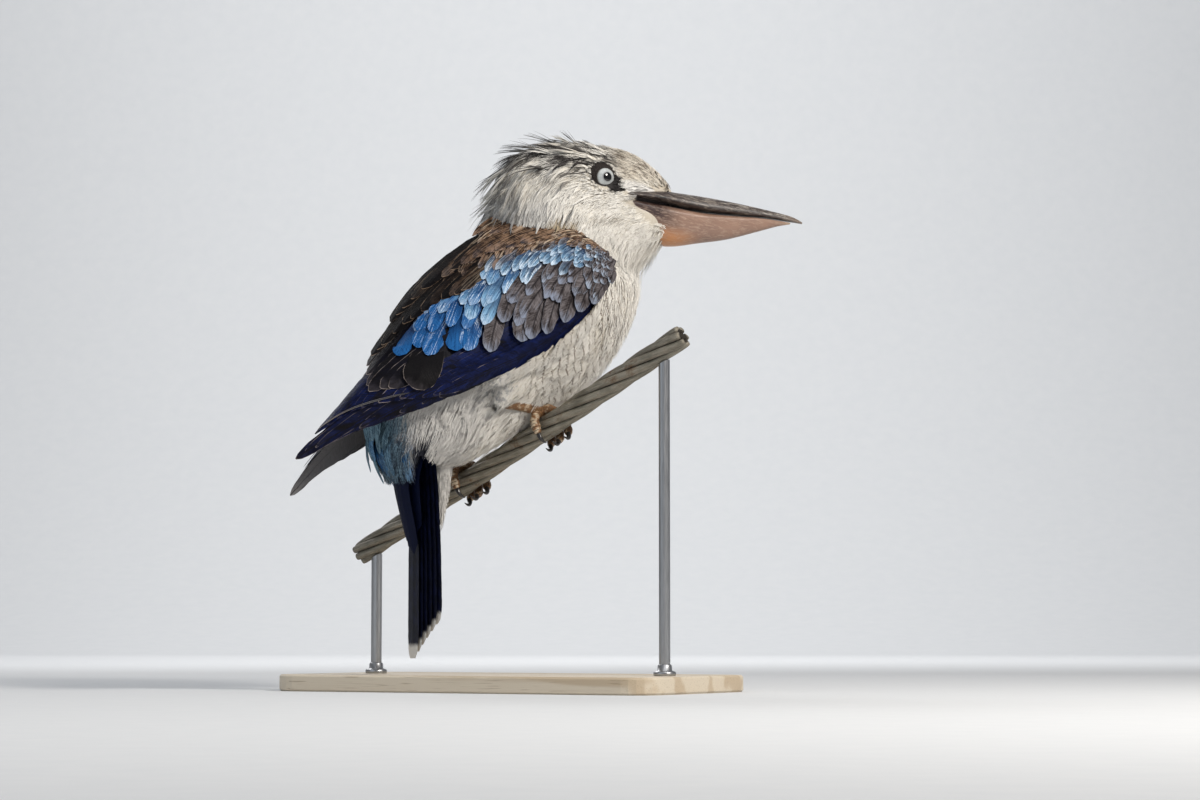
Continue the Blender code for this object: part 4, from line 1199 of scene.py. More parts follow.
# Name, count, tips, roots, half widths at the row's ends, and heights over the shield at root and tip.
WING_ROWS = (
    Row("primary", 9, ((0.62, 0.03), (0.84, 0.12), (1.0, 0.42)), ((0.36, 0.06), (0.40, 0.16), (0.42, 0.30)),
        (5.6, 5.2), (-2.6, -1.7), POINTED, 30, 0.05, flight_kind(0.55, black=0.3)),
    Row("secondary", 16, ((0.62, 0.08), (0.70, 0.25), (0.81, 0.55), (0.91, 0.86)),
        ((0.10, 0.10), (0.14, 0.30), (0.20, 0.56), (0.28, 0.80)),
        (6.4, 7.4), (-2.4, 0.0), POINTED, 28, 0.10, flight_kind(1.0)),
    Row("pale_edge", 1, ((0.905, 0.88), (0.905, 0.88)), ((0.665, 0.245), (0.665, 0.245)),
        (0.5, 0.5), (0.3, 0.9), LONG, 30, 0.0, flight_kind(0.0, grey=1.0), bow=-0.07),
    Row("tertial", 6, ((0.70, 0.46), (0.74, 0.66), (0.68, 1.0)), ((0.30, 0.60), (0.32, 0.78), (0.30, 0.96)),
        (6.2, 6.0), (-1.0, 1.3), LONG, 24, 0.14, flight_kind(0.08)),
    Row("drop", 1, ((0.655, 0.27), (0.655, 0.27)), ((0.47, 0.80), (0.47, 0.80)),
        (9.8, 9.8), (-0.5, 2.1), BROAD, 26, 0.05, flight_kind(0.0)),
    Row("greater", 13, ((0.12, 0.22), (0.25, 0.23), (0.39, 0.28), (0.53, 0.44), (0.62, 0.72)),
        ((0.02, 0.50), (0.14, 0.58), (0.28, 0.64), (0.42, 0.82), (0.50, 0.98)),
        (5.4, 6.2), (-0.6, 2.4), rows=18),
    Row("median", 17, ((0.08, 0.36), (0.21, 0.42), (0.35, 0.46), (0.47, 0.60), (0.56, 0.80)),
        ((0.00, 0.62), (0.11, 0.72), (0.23, 0.78), (0.36, 0.92), (0.44, 1.02)),
        (4.2, 4.8), (0.2, 2.9), rows=14),
    Row("lesser_1", 20, ((0.07, 0.46), (0.18, 0.52), (0.31, 0.58), (0.42, 0.71), (0.50, 0.86)),
        ((-0.01, 0.66), (0.09, 0.76), (0.21, 0.82), (0.33, 0.92), (0.40, 1.02)),
        (3.4, 4.0), (0.7, 3.2), rows=12),
    Row("lesser_2", 22, ((0.065, 0.56), (0.15, 0.62), (0.27, 0.68), (0.38, 0.80), (0.46, 0.92)),
        ((-0.02, 0.74), (0.07, 0.83), (0.18, 0.89), (0.30, 0.98), (0.37, 1.06)),
        (3.0, 3.6), (1.0, 3.5), rows=10),
    Row("lesser_3", 24, ((0.06, 0.65), (0.13, 0.71), (0.24, 0.77), (0.34, 0.87), (0.42, 0.97)),
        ((-0.03, 0.82), (0.06, 0.90), (0.16, 0.96), (0.26, 1.03), (0.34, 1.10)),
        (2.7, 3.4), (1.4, 3.7), rows=10),
    Row("lesser_4", 25, ((0.055, 0.73), (0.11, 0.79), (0.21, 0.85), (0.30, 0.93), (0.37, 1.02)),
        ((-0.03, 0.89), (0.04, 0.96), (0.13, 1.02), (0.22, 1.08), (0.29, 1.14)),
        (2.5, 3.2), (1.7, 3.9), rows=10),
    Row("shoulder_1", 26, ((0.04, 0.81), (0.09, 0.87), (0.19, 0.92), (0.29, 0.99), (0.36, 1.06)),
        ((-0.04, 0.95), (0.01, 1.03), (0.09, 1.08), (0.18, 1.13), (0.25, 1.18)),
        (2.4, 3.4), (1.9, 4.0), POINTED, 12),
    Row("shoulder_2", 26, ((0.03, 0.89), (0.07, 0.94), (0.17, 0.99), (0.28, 1.05), (0.36, 1.12)),
        ((-0.05, 1.02), (-0.01, 1.09), (0.06, 1.14), (0.15, 1.18), (0.23, 1.22)),
        (2.4, 3.4), (2.1, 4.1), POINTED, 12),
    Row("scapular_1", 12, ((0.42, 0.84), (0.53, 0.90), (0.66, 0.97)),
        ((0.22, 1.00), (0.33, 1.02), (0.44, 1.04)), (4.6, 5.2), (1.2, 3.8), LONG, 18, 0.12, scapular_kind),
    Row("scapular_2", 15, ((0.26, 0.97), (0.42, 1.00), (0.58, 1.04)),
        ((0.08, 1.12), (0.22, 1.13), (0.38, 1.12)), (4.4, 5.2), (1.8, 4.4), LONG, 18, 0.12, scapular_kind),
)


FLIGHTS = ("primary", "secondary", "pale_edge", "tertial", "drop")
GREY_UNDERSIDE = (0.2, 1.0, 0.6)


def lay_row(vanes, row, side, rng):
    places = np.linspace(0, 1, row.count)
    tips = catmull(row.tips, places * (len(row.tips) - 1))
    roots = catmull(row.roots, places * (len(row.roots) - 1))
    for place, tip, root in zip(places, tips, roots):
        tip = tip + rng.normal(0, 1, 2) * ((0.012, 0.022) if row.shape is ROUND else (0.003, 0.005))
        root = root + rng.normal(0, 1, 2) * (0.008, 0.015)
        reach = np.linspace(0, 1, row.rows)
        along = blend(root[0], tip[0], reach)
        across = blend(root[1], tip[1], reach) + row.bow * np.sin(math.pi * reach)
        out = blend(row.out[0], row.out[1], 1 - (1 - reach) ** 2) + rng.normal(0, 0.05)
        normals = shield_out(along, across)
        path = shield(along, across) + normals * out[:, None]
        if side > 0:
            path, normals = path * MIRROR, normals * MIRROR
        ahead = unit(np.gradient(path, axis=0))
        beside = unit(np.cross(normals, ahead))
        upward = np.sign(beside[:, 2:3])
        normals = unit(normals - beside * upward * row.lean)
        if side > 0:
            path, normals = drooped(path), normals @ WING_DROOP.T
        half = (
            blend(row.half[0], row.half[1], place)
            * (rng.uniform(0.88, 1.10) if row.shape is ROUND else 1.0)
        )
        widths = half * profile(row.shape, row.rows)
        kind = row.kind(*(tip + rng.normal(0, 0.022, 2)))
        below = GREY_UNDERSIDE if row.name == "primary" else None
        vanes.add(
            body_place(path), normals @ BODY_AXES.T, widths, rng.random(), kind=kind, notch=0.12,
            kind_below=below,
        )


COVERS = []


def build_wings():
    for name, side in SIDES.items():
        rng = np.random.default_rng(71 + side)
        flights, coverts = Vanes(), Vanes()
        for row in WING_ROWS:
            lay_row(flights if row.name in FLIGHTS else coverts, row, side, rng)
        flights.write(f"flights_{name}", flight, "wing_feather", [f"wing_{name}"])
        COVERS.append(coverts.write(f"coverts_{name}", covert, "wing_feather", [f"wing_{name}"]))
        build_arm(name, side)


# %% The arm under the feathers
ARM_INSET = 1.9


def build_arm(name, side):
    """A dark slab that fills the folded wing, so that no light shows between the vanes."""
    along = np.linspace(0.0, 0.66, 26)
    across = np.linspace(0.06, 0.97, 12)
    a, c = np.meshgrid(along, across, indexing="ij")
    c = 0.97 - (0.97 - c) * np.interp(a, (0, 0.25, 0.5, 0.62), (0.72, 0.86, 1.0, 0.8))
    outward = shield_out(a, c)
    middle = shield(a, c)
    depth = (
        5.0 * np.interp(a, (0, 0.1, 0.5, 0.66), (0.6, 1.0, 0.8, 0.06))
        * np.sqrt(np.clip(1 - (2 * c - 1.03) ** 4, 0.05, 1))
    )
    upper = middle - outward * ARM_INSET
    lower = middle - outward * (ARM_INSET + depth)[..., None]
    rings = np.concatenate([upper, lower[:, ::-1]], 1)
    if side > 0:
        rings = drooped(rings * MIRROR)
    down = Finish(f"under_down_{name}", Roughness=0.8)
    fluff = down.noise(down.place(), 700.0, 4.0)
    down.drive(Base_Color=down.mix((16, 15, 22), (40, 38, 46), fluff), Normal=down.bump(fluff, 0.3))
    arm = rings_mesh(f"arm_{name}", body_place(rings), down.material)
    COVERS.append(arm)
    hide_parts(f"wing_{name}")


build_wings()

# %% [markdown]
# ## Tail
# Twelve tail feathers, six to a side, the middle pair on top and each further pair under it and a
# little shorter. They are long strips with square ends, nearly black with a blue gloss, and white at
# the tip. Over their roots lie two rows of dark coverts and four rows of azure ones. The white wedge
# before them grows later, with the coat.

# %% Tail feathers
TAIL_TOP = (-58.0, 6.0)
TAIL_LENGTH = 117.0
RECTRIX_ROWS = 40
RECTRIX_SHAPE = ((0.0, 0.35), (0.22, 0.8), (0.55, 1.0), (0.9, 0.98), (0.97, 0.8), (1.0, 0.4))


def build_tail():
    rng = np.random.default_rng(5)
    tail = Vanes()
    for place in range(5, -1, -1):
        for side in (-1, 1):
            shift = side * (1.6 + 1.8 * place)
            inward = 0.98 * place + (0.49 if side > 0 else 0)
            length = TAIL_LENGTH - 3.5 - 3.6 * place
            reach = np.linspace(0, 1, RECTRIX_ROWS)
            fan = blend(0.72, 1.0, reach)
            forward = TAIL_TOP[0] + inward + 0.030 * shift ** 2 * fan
            up = TAIL_TOP[1] - 3.5 - length * reach
            tilt = 0.036 * shift * fan
            path = body_place(np.stack([forward, shift * fan, up], -1))
            normals = np.stack([-1 + 0 * tilt, np.sin(tilt), 0 * tilt], -1) @ BODY_AXES.T
            widths = 6.0 * profile(RECTRIX_SHAPE, RECTRIX_ROWS)
            tail.add(path, unit(normals), widths, rng.random(), camber=0.04, notch=0.03)
    tail.write("tail_feathers", rectrix, "navy_feather", ["tail"])


# %% Feathers over the tail's root
TAIL_COVERT_ROWS = 16
TAPERED = ((0, 0.6), (0.4, 1.0), (0.75, 0.85), (0.92, 0.5), (1, 0.1))
# (forward, up) along the middle feather, count, reach to the sides, half width, azure share, dark share.
TAIL_COVERTS = (
    (((-58, 4), (-62, -8), (-63, -20), (-59, -48)), 6, 7.5, 5.0, 1.0, 1.0),
    (((-60, 4), (-66, -8), (-68, -20), (-60, -52)), 6, 7.5, 5.0, 1.0, 1.0),
    (((-70, 8), (-74, -2), (-72, -10), (-66, -18)), 11, 13.0, 3.4, 1.0, 0.0),
    (((-75, 12), (-79, 2), (-77, -6), (-72, -14)), 11, 12.5, 3.4, 0.9, 0.0),
    (((-78, 20), (-82.5, 9), (-83, 0), (-80, -8)), 10, 11.5, 3.6, 0.75, 0.0),
    (((-79, 30), (-84, 20), (-85, 10), (-83, 1)), 9, 11.0, 4.0, 0.7, 0.0),
)


def rump_finish():
    made = Finish("rump_feather", Specular_IOR_Level=0.12)
    reach, draw, across, _, fibres, _ = vane_parts(made)
    blue, dark, _ = made.parts("kind")
    strand = made.noise((across * 0.8 + draw * 60, reach * 1.6, draw * 20), 1.6, 3.0, 0.6)
    teal = made.mix((52, 76, 92), (128, 158, 172), (fibres * 0.6 + strand * 0.6).ease(0.46, 0.78))
    strong = made.mix((12, 44, 84), (48, 116, 176), (fibres * 0.6 + strand * 0.6).ease(0.46, 0.78))
    azure = teal.mix(strong, (blue + (draw - 0.5) * 0.3).ease(0.80, 1.0))
    tone = made.mix((190, 182, 168), azure, (blue + (fibres - 0.5) * 0.6).ease(0.40, 0.66))
    tone = tone.mix((40, 50, 66), reach.ease(0.5, 0.1) * blue * 0.7)
    tone = tone.mix(made.mix((3, 4, 14), (12, 22, 56), fibres), dark)
    made.drive(Base_Color=tone, Roughness=0.6 - fibres * 0.1, Normal=made.bump(fibres, 0.25))
    return made


def build_tail_coverts():
    rng = np.random.default_rng(9)
    vanes = Vanes()
    for route, count, reach, half, blue, dark in TAIL_COVERTS:
        for place in range(count):
            side = blend(-reach, reach, place / (count - 1)) + rng.normal(0, 0.3)
            line = resample(route, TAIL_COVERT_ROWS)
            line = line[0] + (line - line[0]) * rng.uniform(0.72 + 0.18 * dark, 1.06)
            share = np.linspace(0, 1, TAIL_COVERT_ROWS)
            layer = (0.9 * (place % 2) + rng.uniform(0, 0.8)) * (1 - dark)
            forward = line[:, 0] + 0.04 * side ** 2 * blend(1.0, 0.2, share) - layer
            path = np.stack(
                [forward, side * blend(1.0, 0.72, share), line[:, 1] + rng.normal(0, 1.2) * share], -1,
            )
            out = unit(np.array((-1.0, 0.045 * side, 0.0)))
            shape = profile(LONG if dark else TAPERED, TAIL_COVERT_ROWS)
            widths = half * rng.uniform(0.6 + 0.3 * dark, 1.05) * shape
            normals = np.broadcast_to(out @ BODY_AXES.T, path.shape)
            look = {"kind": (blue, dark, 0), "notch": 0.35 * (1 - dark), "camber": 0.25, "thickness": 0.24}
            vanes.add(body_place(path), normals, widths, rng.random(), **look)
    vanes.write("tail_coverts", rump_finish(), "cream_feather")


build_tail()
build_tail_coverts()

# %% [markdown]
# ## Skin
# Under the coat lies one skin from the tail's root to the bill, with the feathered thighs grown into
# it. It is lofted a little inside the solids, by the depth of the coat, then remeshed as one surface
# so that no seam shows. Its map, OFBake, is its own shape unrolled: place along the body and angle
# round it.

# %% Skin shape
THIGH_RADII = (14, 13.5, 10, 5.5, 4.0, 0.8)
THIGH_SHARES = (0, 0.35, 0.7, 0.92, 1.0, 1.16)
SHELL_ROWS, TUBE_ROWS, SHELL_SIDES = 120, 24, 72
VOXEL = 1.3


def thigh_surface(foot):
    hip, ankle = body_place(HIPS[foot]), body_place(ANKLES[foot])
    down = unit(ankle - hip)
    front = unit(BODY_AXES[:, 0] - down * (BODY_AXES[:, 0] @ down))
    aside = np.cross(front, down)

    def surface(share, angle):
        share, angle = np.broadcast_arrays(np.asarray(share, float), np.asarray(angle, float))
        radius = np.interp(share, THIGH_SHARES, THIGH_RADII)[..., None]
        centre = hip + (ankle - hip) * share[..., None]
        return centre + radius * (np.cos(angle)[..., None] * front + np.sin(angle)[..., None] * aside)

    return surface


def coat_depth(at):
    return np.interp(at, (0, 6, 8, 12, 14, 15), (1.7, 1.7, 1.5, 1.1, 0.8, 0.7))


# Height, middle (forward), half depth and half width of the bunch of feathers round the tail's root.
TAIL_BASE = (
    (16, -60, 19, 17), (8, -64.5, 14.5, 15.5), (0, -67, 12, 15), (-7, -67.5, 9.5, 13.5),
    (-13, -66.5, 7, 12), (-18, -65, 4.5, 10.5),
)


def tail_base(share, angle):
    """The bunch round the tail's root: share 1 is its top, so that feathers flow down towards 0; the angle
    turns from the back towards the left."""
    share, angle = np.broadcast_arrays(np.asarray(share, float), np.asarray(angle, float))
    up, middle, depth, width = np.moveaxis(catmull(TAIL_BASE, (1 - share) * (len(TAIL_BASE) - 1)), -1, 0)
    return body_place(np.stack([middle - depth * np.cos(angle), width * np.sin(angle), up], -1))


def coordinates(points):
    """Body and head coordinates of points, as the marks read them."""
    return (points - BODY_ORIGIN) @ BODY_AXES, (points - HEAD_ORIGIN) @ HEAD_AXES


def shell_tubes():
    """Rings of the body, the thighs and the tail's root, each drawn in by the depth of its coat."""
    at = np.linspace(0, LAST_SECTION, SHELL_ROWS)[:, None]
    angle = ring_angles(SHELL_SIDES)[None]
    body = flesh(at, angle)
    _, on_head = coordinates(body)
    gape = (
        np.clip((on_head[..., 0] - 23) / 7, 0, 1) * np.exp(-(((on_head[..., 2] - 6.0) / 4.5) ** 2))
        * (at > 11)
    )
    tubes = [body - slopes(flesh, at, angle)[2] * (coat_depth(at) + 5.0 * gape)[..., None]]
    limbs = [(thigh_surface(foot), 0.0, 0.99, 1.6) for foot in SIDES] + [(tail_base, 0.2, 1.0, 1.8)]
    for surface, low, high, depth in limbs:
        tube = surface(np.linspace(low, high, TUBE_ROWS)[:, None], angle)
        middle = tube.mean(1, keepdims=True)
        away = np.linalg.norm(tube - middle, axis=-1, keepdims=True)
        tubes.append(middle + (tube - middle) * (1 - depth / away))
    return tubes


def build_skin_shell():
    points, faces, ends, start = [], [], [], 0
    for tube in shell_tubes():
        rows, columns = tube.shape[:2]
        points += tube.reshape(-1, 3).tolist()
        faces += (grid_faces(rows, columns, closed=True) + start).tolist()
        ends.append([start + i for i in reversed(range(columns))])
        start += rows * columns
        ends.append([start - columns + i for i in range(columns)])
    mesh = bpy.data.meshes.new("skin_shell")
    mesh.from_pydata((np.array(points) * MM).tolist(), [], faces + ends)
    shell = bpy.data.objects.new("skin_shell", mesh)
    scene.collection.objects.link(shell)
    grown = shell.modifiers.new("one_surface", "REMESH")
    grown.mode = "VOXEL"
    grown.voxel_size = VOXEL * MM
    soft = shell.modifiers.new("soft", "SMOOTH")
    soft.factor = 0.5
    soft.iterations = 6
    whole = bpy.data.meshes.new_from_object(shell.evaluated_get(bpy.context.evaluated_depsgraph_get()))
    bpy.data.objects.remove(shell)
    points = np.empty(len(whole.vertices) * 3)
    whole.vertices.foreach_get("co", points)
    faces = np.empty(len(whole.polygons) * 4, int)
    whole.polygons.foreach_get("vertices", faces)
    return points.reshape(-1, 3) / MM, faces.reshape(-1, 4)


# %% Marks of the plumage


def plumage(name, **constants):
    """The finish of skin and coat alike: one set of marks, read at each feather's root."""
    made = Finish(name, Roughness=0.75, **constants)
    front, side, rise = made.parts("on_head")
    ahead, aside, high = made.parts("on_body")
    own = made.vector("own_body")
    own_ahead, own_aside, own_high = made.parts(own)
    across, reach, draw = made.parts("vane")
    cloud = made.noise(made.vector("on_body"), 0.07, 3.0)
    fine = made.noise(own, 0.9, 3.0, 0.6)
    is_head = high.ease(112.0, 124.0)

    cream = made.mix(
        (214, 204, 186), (240, 236, 228), (cloud * 0.5 + fine * 0.5 + reach * 0.2).ease(0.35, 0.72),
    )
    # Painted shade towards the roots of the tufts and on the skin beneath them, stronger on the head.
    cream = cream.mix((160, 150, 134), reach.ease(0.55, 0.0) * (0.30 + is_head * 0.25))
    # Thin broken lines across breast and belly.
    line = own_ahead + own_high * 0.25 + made.noise(own, 0.13, 2.0) * 5.0 + draw * 0.4
    line = abs((line / 5.0).fold() - 0.5)
    broken = made.noise((own_ahead * 0.22, own_aside * 0.22, own_high * 0.07), 1.0, 2.0).ease(0.40, 0.48)
    where = (ahead + high * 0.15).ease(-6.0, 10.0) * high.ease(104.0, 92.0) * abs(aside).ease(2.0, 6.0)
    lines = line.ease(0.10, 0.04) * broken * where
    tone = cream.mix((112, 90, 72), lines * 0.85)
    # Painted shade: a greyer white over vent and thighs.
    vent = ahead.ease(-14.0, -30.0) * high.ease(46.0, 30.0)
    tone = tone.mix(made.mix((196, 192, 186), (232, 229, 224), fine), vent)
    # Painted shade under the wing: a mottled blue-grey patch on the flank, behind the thigh's top.
    flank_shade = (oval(ahead + 20.0, high - 34.0, 11.0, 9.0) + (cloud - 0.5) * 1.2).ease(1.1, 0.3)
    flank_shade = flank_shade * abs(aside).ease(12.0, 20.0)
    mottled = made.noise(own, 0.28, 3.0, 0.6).ease(0.48, 0.60)
    tone = tone.mix(made.mix((92, 92, 98), (168, 168, 170), fine), flank_shade * mottled * 0.8)
    # More painted shade on the vent: grey mottling.
    tone = tone.mix((122, 118, 116), vent * made.noise(own, 0.22, 3.0, 0.6).ease(0.54, 0.66) * 0.5)
    # Azure rump.
    rump = (ahead + high * 0.30 + fine * 5.0).ease(-56.0, -66.0)
    azure = made.mix((30, 48, 66), (116, 146, 164), (fine + draw * 0.5).ease(0.50, 1.10))
    azure = azure.mix((30, 92, 150), (ahead + fine * 6.0).ease(-68.0, -60.0) * draw.ease(0.3, 0.7) * 0.8)
    tone = tone.mix(azure, rump)
    # The tail's dark root, between the azure coverts and the white wedge.
    root = (ahead + fine * 2.0).ease(-64.0, -61.0) * ahead.ease(-51.0, -54.0) * high.ease(12.0, 5.0)
    tone = tone.mix(made.mix((4, 5, 16), (14, 22, 48), fine), root)
    # Dark mantle between the wings.
    mantle = (ahead - high * 0.9).ease(-92.0, -104.0) * high.ease(116.0, 104.0) * (1 - rump)
    tone = tone.mix(made.mix((34, 28, 30), (84, 64, 50), fine), mantle)

    # Head: dark streaks along the lie of the feathers, from the brow over crown and temple.
    along = (front * 0.05 + draw * 0.20, side * 0.40, rise * 0.40)
    streaks = made.noise(along, 1.0, 2.0, 0.6)
    thin = made.noise((front * 0.10 + draw, side * 1.3, rise * 1.3), 1.0, 2.0)
    shaft = abs(across).ease(0.75, 0.30)
    dark = (34, 26, 24)
    crown = (rise - front * 0.12).ease(19.0, 24.0) * front.ease(34.0, 18.0)
    crown_lines = (streaks + shaft * 0.05).ease(0.50, 0.57)
    tone = tone.mix(dark, crown * crown_lines * is_head * 0.95)
    temple = (
        rise.ease(10.0, 15.0) * (rise - front * 0.1).ease(25.0, 21.0) * front.ease(-40.0, -26.0)
        * front.ease(6.0, 0.0)
    )
    tone = tone.mix(dark, temple * (streaks + shaft * 0.06).ease(0.54, 0.62) * is_head * 0.9)
    forehead = rise.ease(14.0, 18.0) * front.ease(12.0, 24.0)
    tone = tone.mix((206, 190, 164), forehead * 0.45)
    tone = tone.mix((84, 62, 46), forehead * thin.ease(0.52, 0.62) * is_head * 0.8)
    # Brow band over the eye, running back.
    band = (
        abs(rise - 23.0 - front * 0.10).ease(4.0, 1.5) * front.ease(-30.0, -10.0) * front.ease(22.0, 14.0)
    )
    tone = tone.mix(dark, band * streaks.ease(0.40, 0.50) * is_head * 0.92)
    # The dark patch round the eye runs forward and down to the lore, and a little way back.
    sinking = front.ease(7.0, 15.0) * 3.6
    widening = front.ease(10.0, 16.0) * 3.2
    patch = (
        oval(front - 10.0, rise - 15.4 + sinking, 8.2 + widening, 6.0) + (fine - 0.5) * 0.6
    ).ease(1.15, 0.80)
    round_lids = oval(front - 6.2, rise - 14.6, 6.3, 6.0)
    patch = patch.higher((round_lids + (fine - 0.5) * 0.3).ease(1.1, 0.9))
    tone = tone.mix((22, 17, 16), patch * is_head)
    # The pale spot over the bill's root.
    lore = oval(front - 28.0, rise - 11.5, 11.0, 4.5).ease(1.1, 0.6) * (1 - patch)
    tone = tone.mix((236, 233, 228), lore * is_head * 0.9)
    # Lines that stream back from the gape under the eye.
    stream = (
        abs(rise - 7.0 + front * 0.22).ease(4.5, 1.5) * front.ease(-44.0, -20.0) * front.ease(2.0, -8.0)
    )
    tone = tone.mix((58, 50, 46), stream * thin.ease(0.50, 0.58) * is_head * 0.85)
    # Dark tips of the nape and crest.
    nape = front.ease(-30.0, -42.0).higher((rise - front * 0.3).ease(28.0, 34.0)) * is_head
    tips = reach.ease(0.28, 0.66) * draw.ease(0.38, 0.58)
    tone = tone.mix((34, 27, 26), nape * tips * 0.92)
    flecks = front.ease(-18.0, -30.0) * rise.ease(0.0, -8.0) * thin.ease(0.56, 0.64)
    tone = tone.mix((86, 78, 74), flecks * is_head * 0.6)
    # Painted shade: blue-grey over the side of the neck.
    neck_shade = front.ease(-12.0, -26.0) * rise.ease(6.0, -6.0)
    tone = tone.mix(made.mix((150, 152, 156), (204, 203, 200), fine), neck_shade * is_head * 0.55)
    # Painted shade in the recessed corner of the mouth, where the skin is bare.
    mouth = front.ease(24.0, 29.0) * abs(rise - 6.0).ease(5.5, 3.5)
    tone = tone.mix((30, 20, 20), mouth * is_head)
    # Painted shade along the crease behind the corner of the mouth.
    crease_shade = (
        abs(rise + 7.0 - (front - 12.0) * 0.12 - fine * 1.5).ease(1.5, 0.4)
        * abs(front - 16.0).ease(11.0, 5.0)
    )
    tone = tone.mix((104, 88, 66), crease_shade * is_head * 0.7)
    # The stained side of the neck.
    stain = (oval(front + 11.0, rise + 17.0, 12.0, 10.0) + (cloud - 0.5) * 0.8).ease(1.2, 0.2)
    tone = tone.mix((140, 112, 56), stain * 0.75)
    made.drive(Base_Color=tone, Normal=made.bump(fine, 0.25))
    return made


def search_tree(points):
    """A tree that finds the nearest of many points."""
    tree = KDTree(len(points))
    for index, point in enumerate(points):
        tree.insert(point, index)
    tree.balance()
    return tree


def flesh_places(at, angle):
    """The part of the bake map that the body fills."""
    return np.stack([0.02 + 0.78 * at / LAST_SECTION, angle / FULL_TURN], -1)


def build_skin():
    points, faces = build_skin_shell()
    grid = np.meshgrid(np.linspace(0, LAST_SECTION, 180), ring_angles(90), indexing="ij")
    at, angle = (values.ravel() for values in grid)
    tree = search_tree(flesh(at, angle))
    nearest = np.array([tree.find(point)[1] for point in points])
    places = flesh_places(at[nearest], angle[nearest])
    on_body, on_head = coordinates(points)
    finish = plumage("skin_marks", Sheen_Weight=0.1)
    skin = piece(
        "skin", points, faces, finish.material, places=places, on_body=on_body, on_head=on_head,
        own_body=on_body,
    )
    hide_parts("rump", "torso", "neck", "head", "thigh_right", "thigh_left")
    print("skin", len(faces), "faces")


build_skin()

# %% [markdown]
# ## Coat
# Small feathers are tufts of fine pointed strands, each strand a three-sided sliver of mesh. Their
# roots are scattered evenly over the flesh, none nearer to another than a set gap. From its root a
# tuft follows the curve of the body backwards, away from the bill, and rises by a millimetre or so to
# lie on the next ones. Hair systems could do this too, but only real mesh survives the export.

# %% Scattering roots
TUFT_PATCH = 0.0015
CROWD = 6.0


def scatter(surface, low, high, gap, seed):
    """Even random places (u, v) on a surface. gap is the least distance in millimetres, or tells it for
    each u. Far too many places are thrown, and each one kept clears its neighbourhood."""
    rng = np.random.default_rng(seed)
    gap_at = gap if callable(gap) else lambda u: gap + 0 * u

    def density(u, v):
        along, across, _ = slopes(surface, u, v)
        return np.linalg.norm(np.cross(along, across), axis=-1) / gap_at(u) ** 2

    grid = density(*np.meshgrid(np.linspace(low, high, 80), np.linspace(0, FULL_TURN, 60), indexing="ij"))
    wanted = CROWD * grid.mean() * (high - low) * FULL_TURN
    u = rng.uniform(low, high, int(wanted * (grid.max() / grid.mean())))
    v = rng.uniform(0, FULL_TURN, len(u))
    kept = rng.random(len(u)) < density(u, v) / grid.max()
    u, v = u[kept], v[kept]
    points, reach = surface(u, v), gap_at(u)
    tree = search_tree(points)
    alive = np.ones(len(u), bool)
    for index in range(len(u)):
        if alive[index]:
            for _, other, _ in tree.find_range(points[index], reach[index]):
                alive[other] = other == index
    return u[alive], v[alive]


# %% Growing tufts


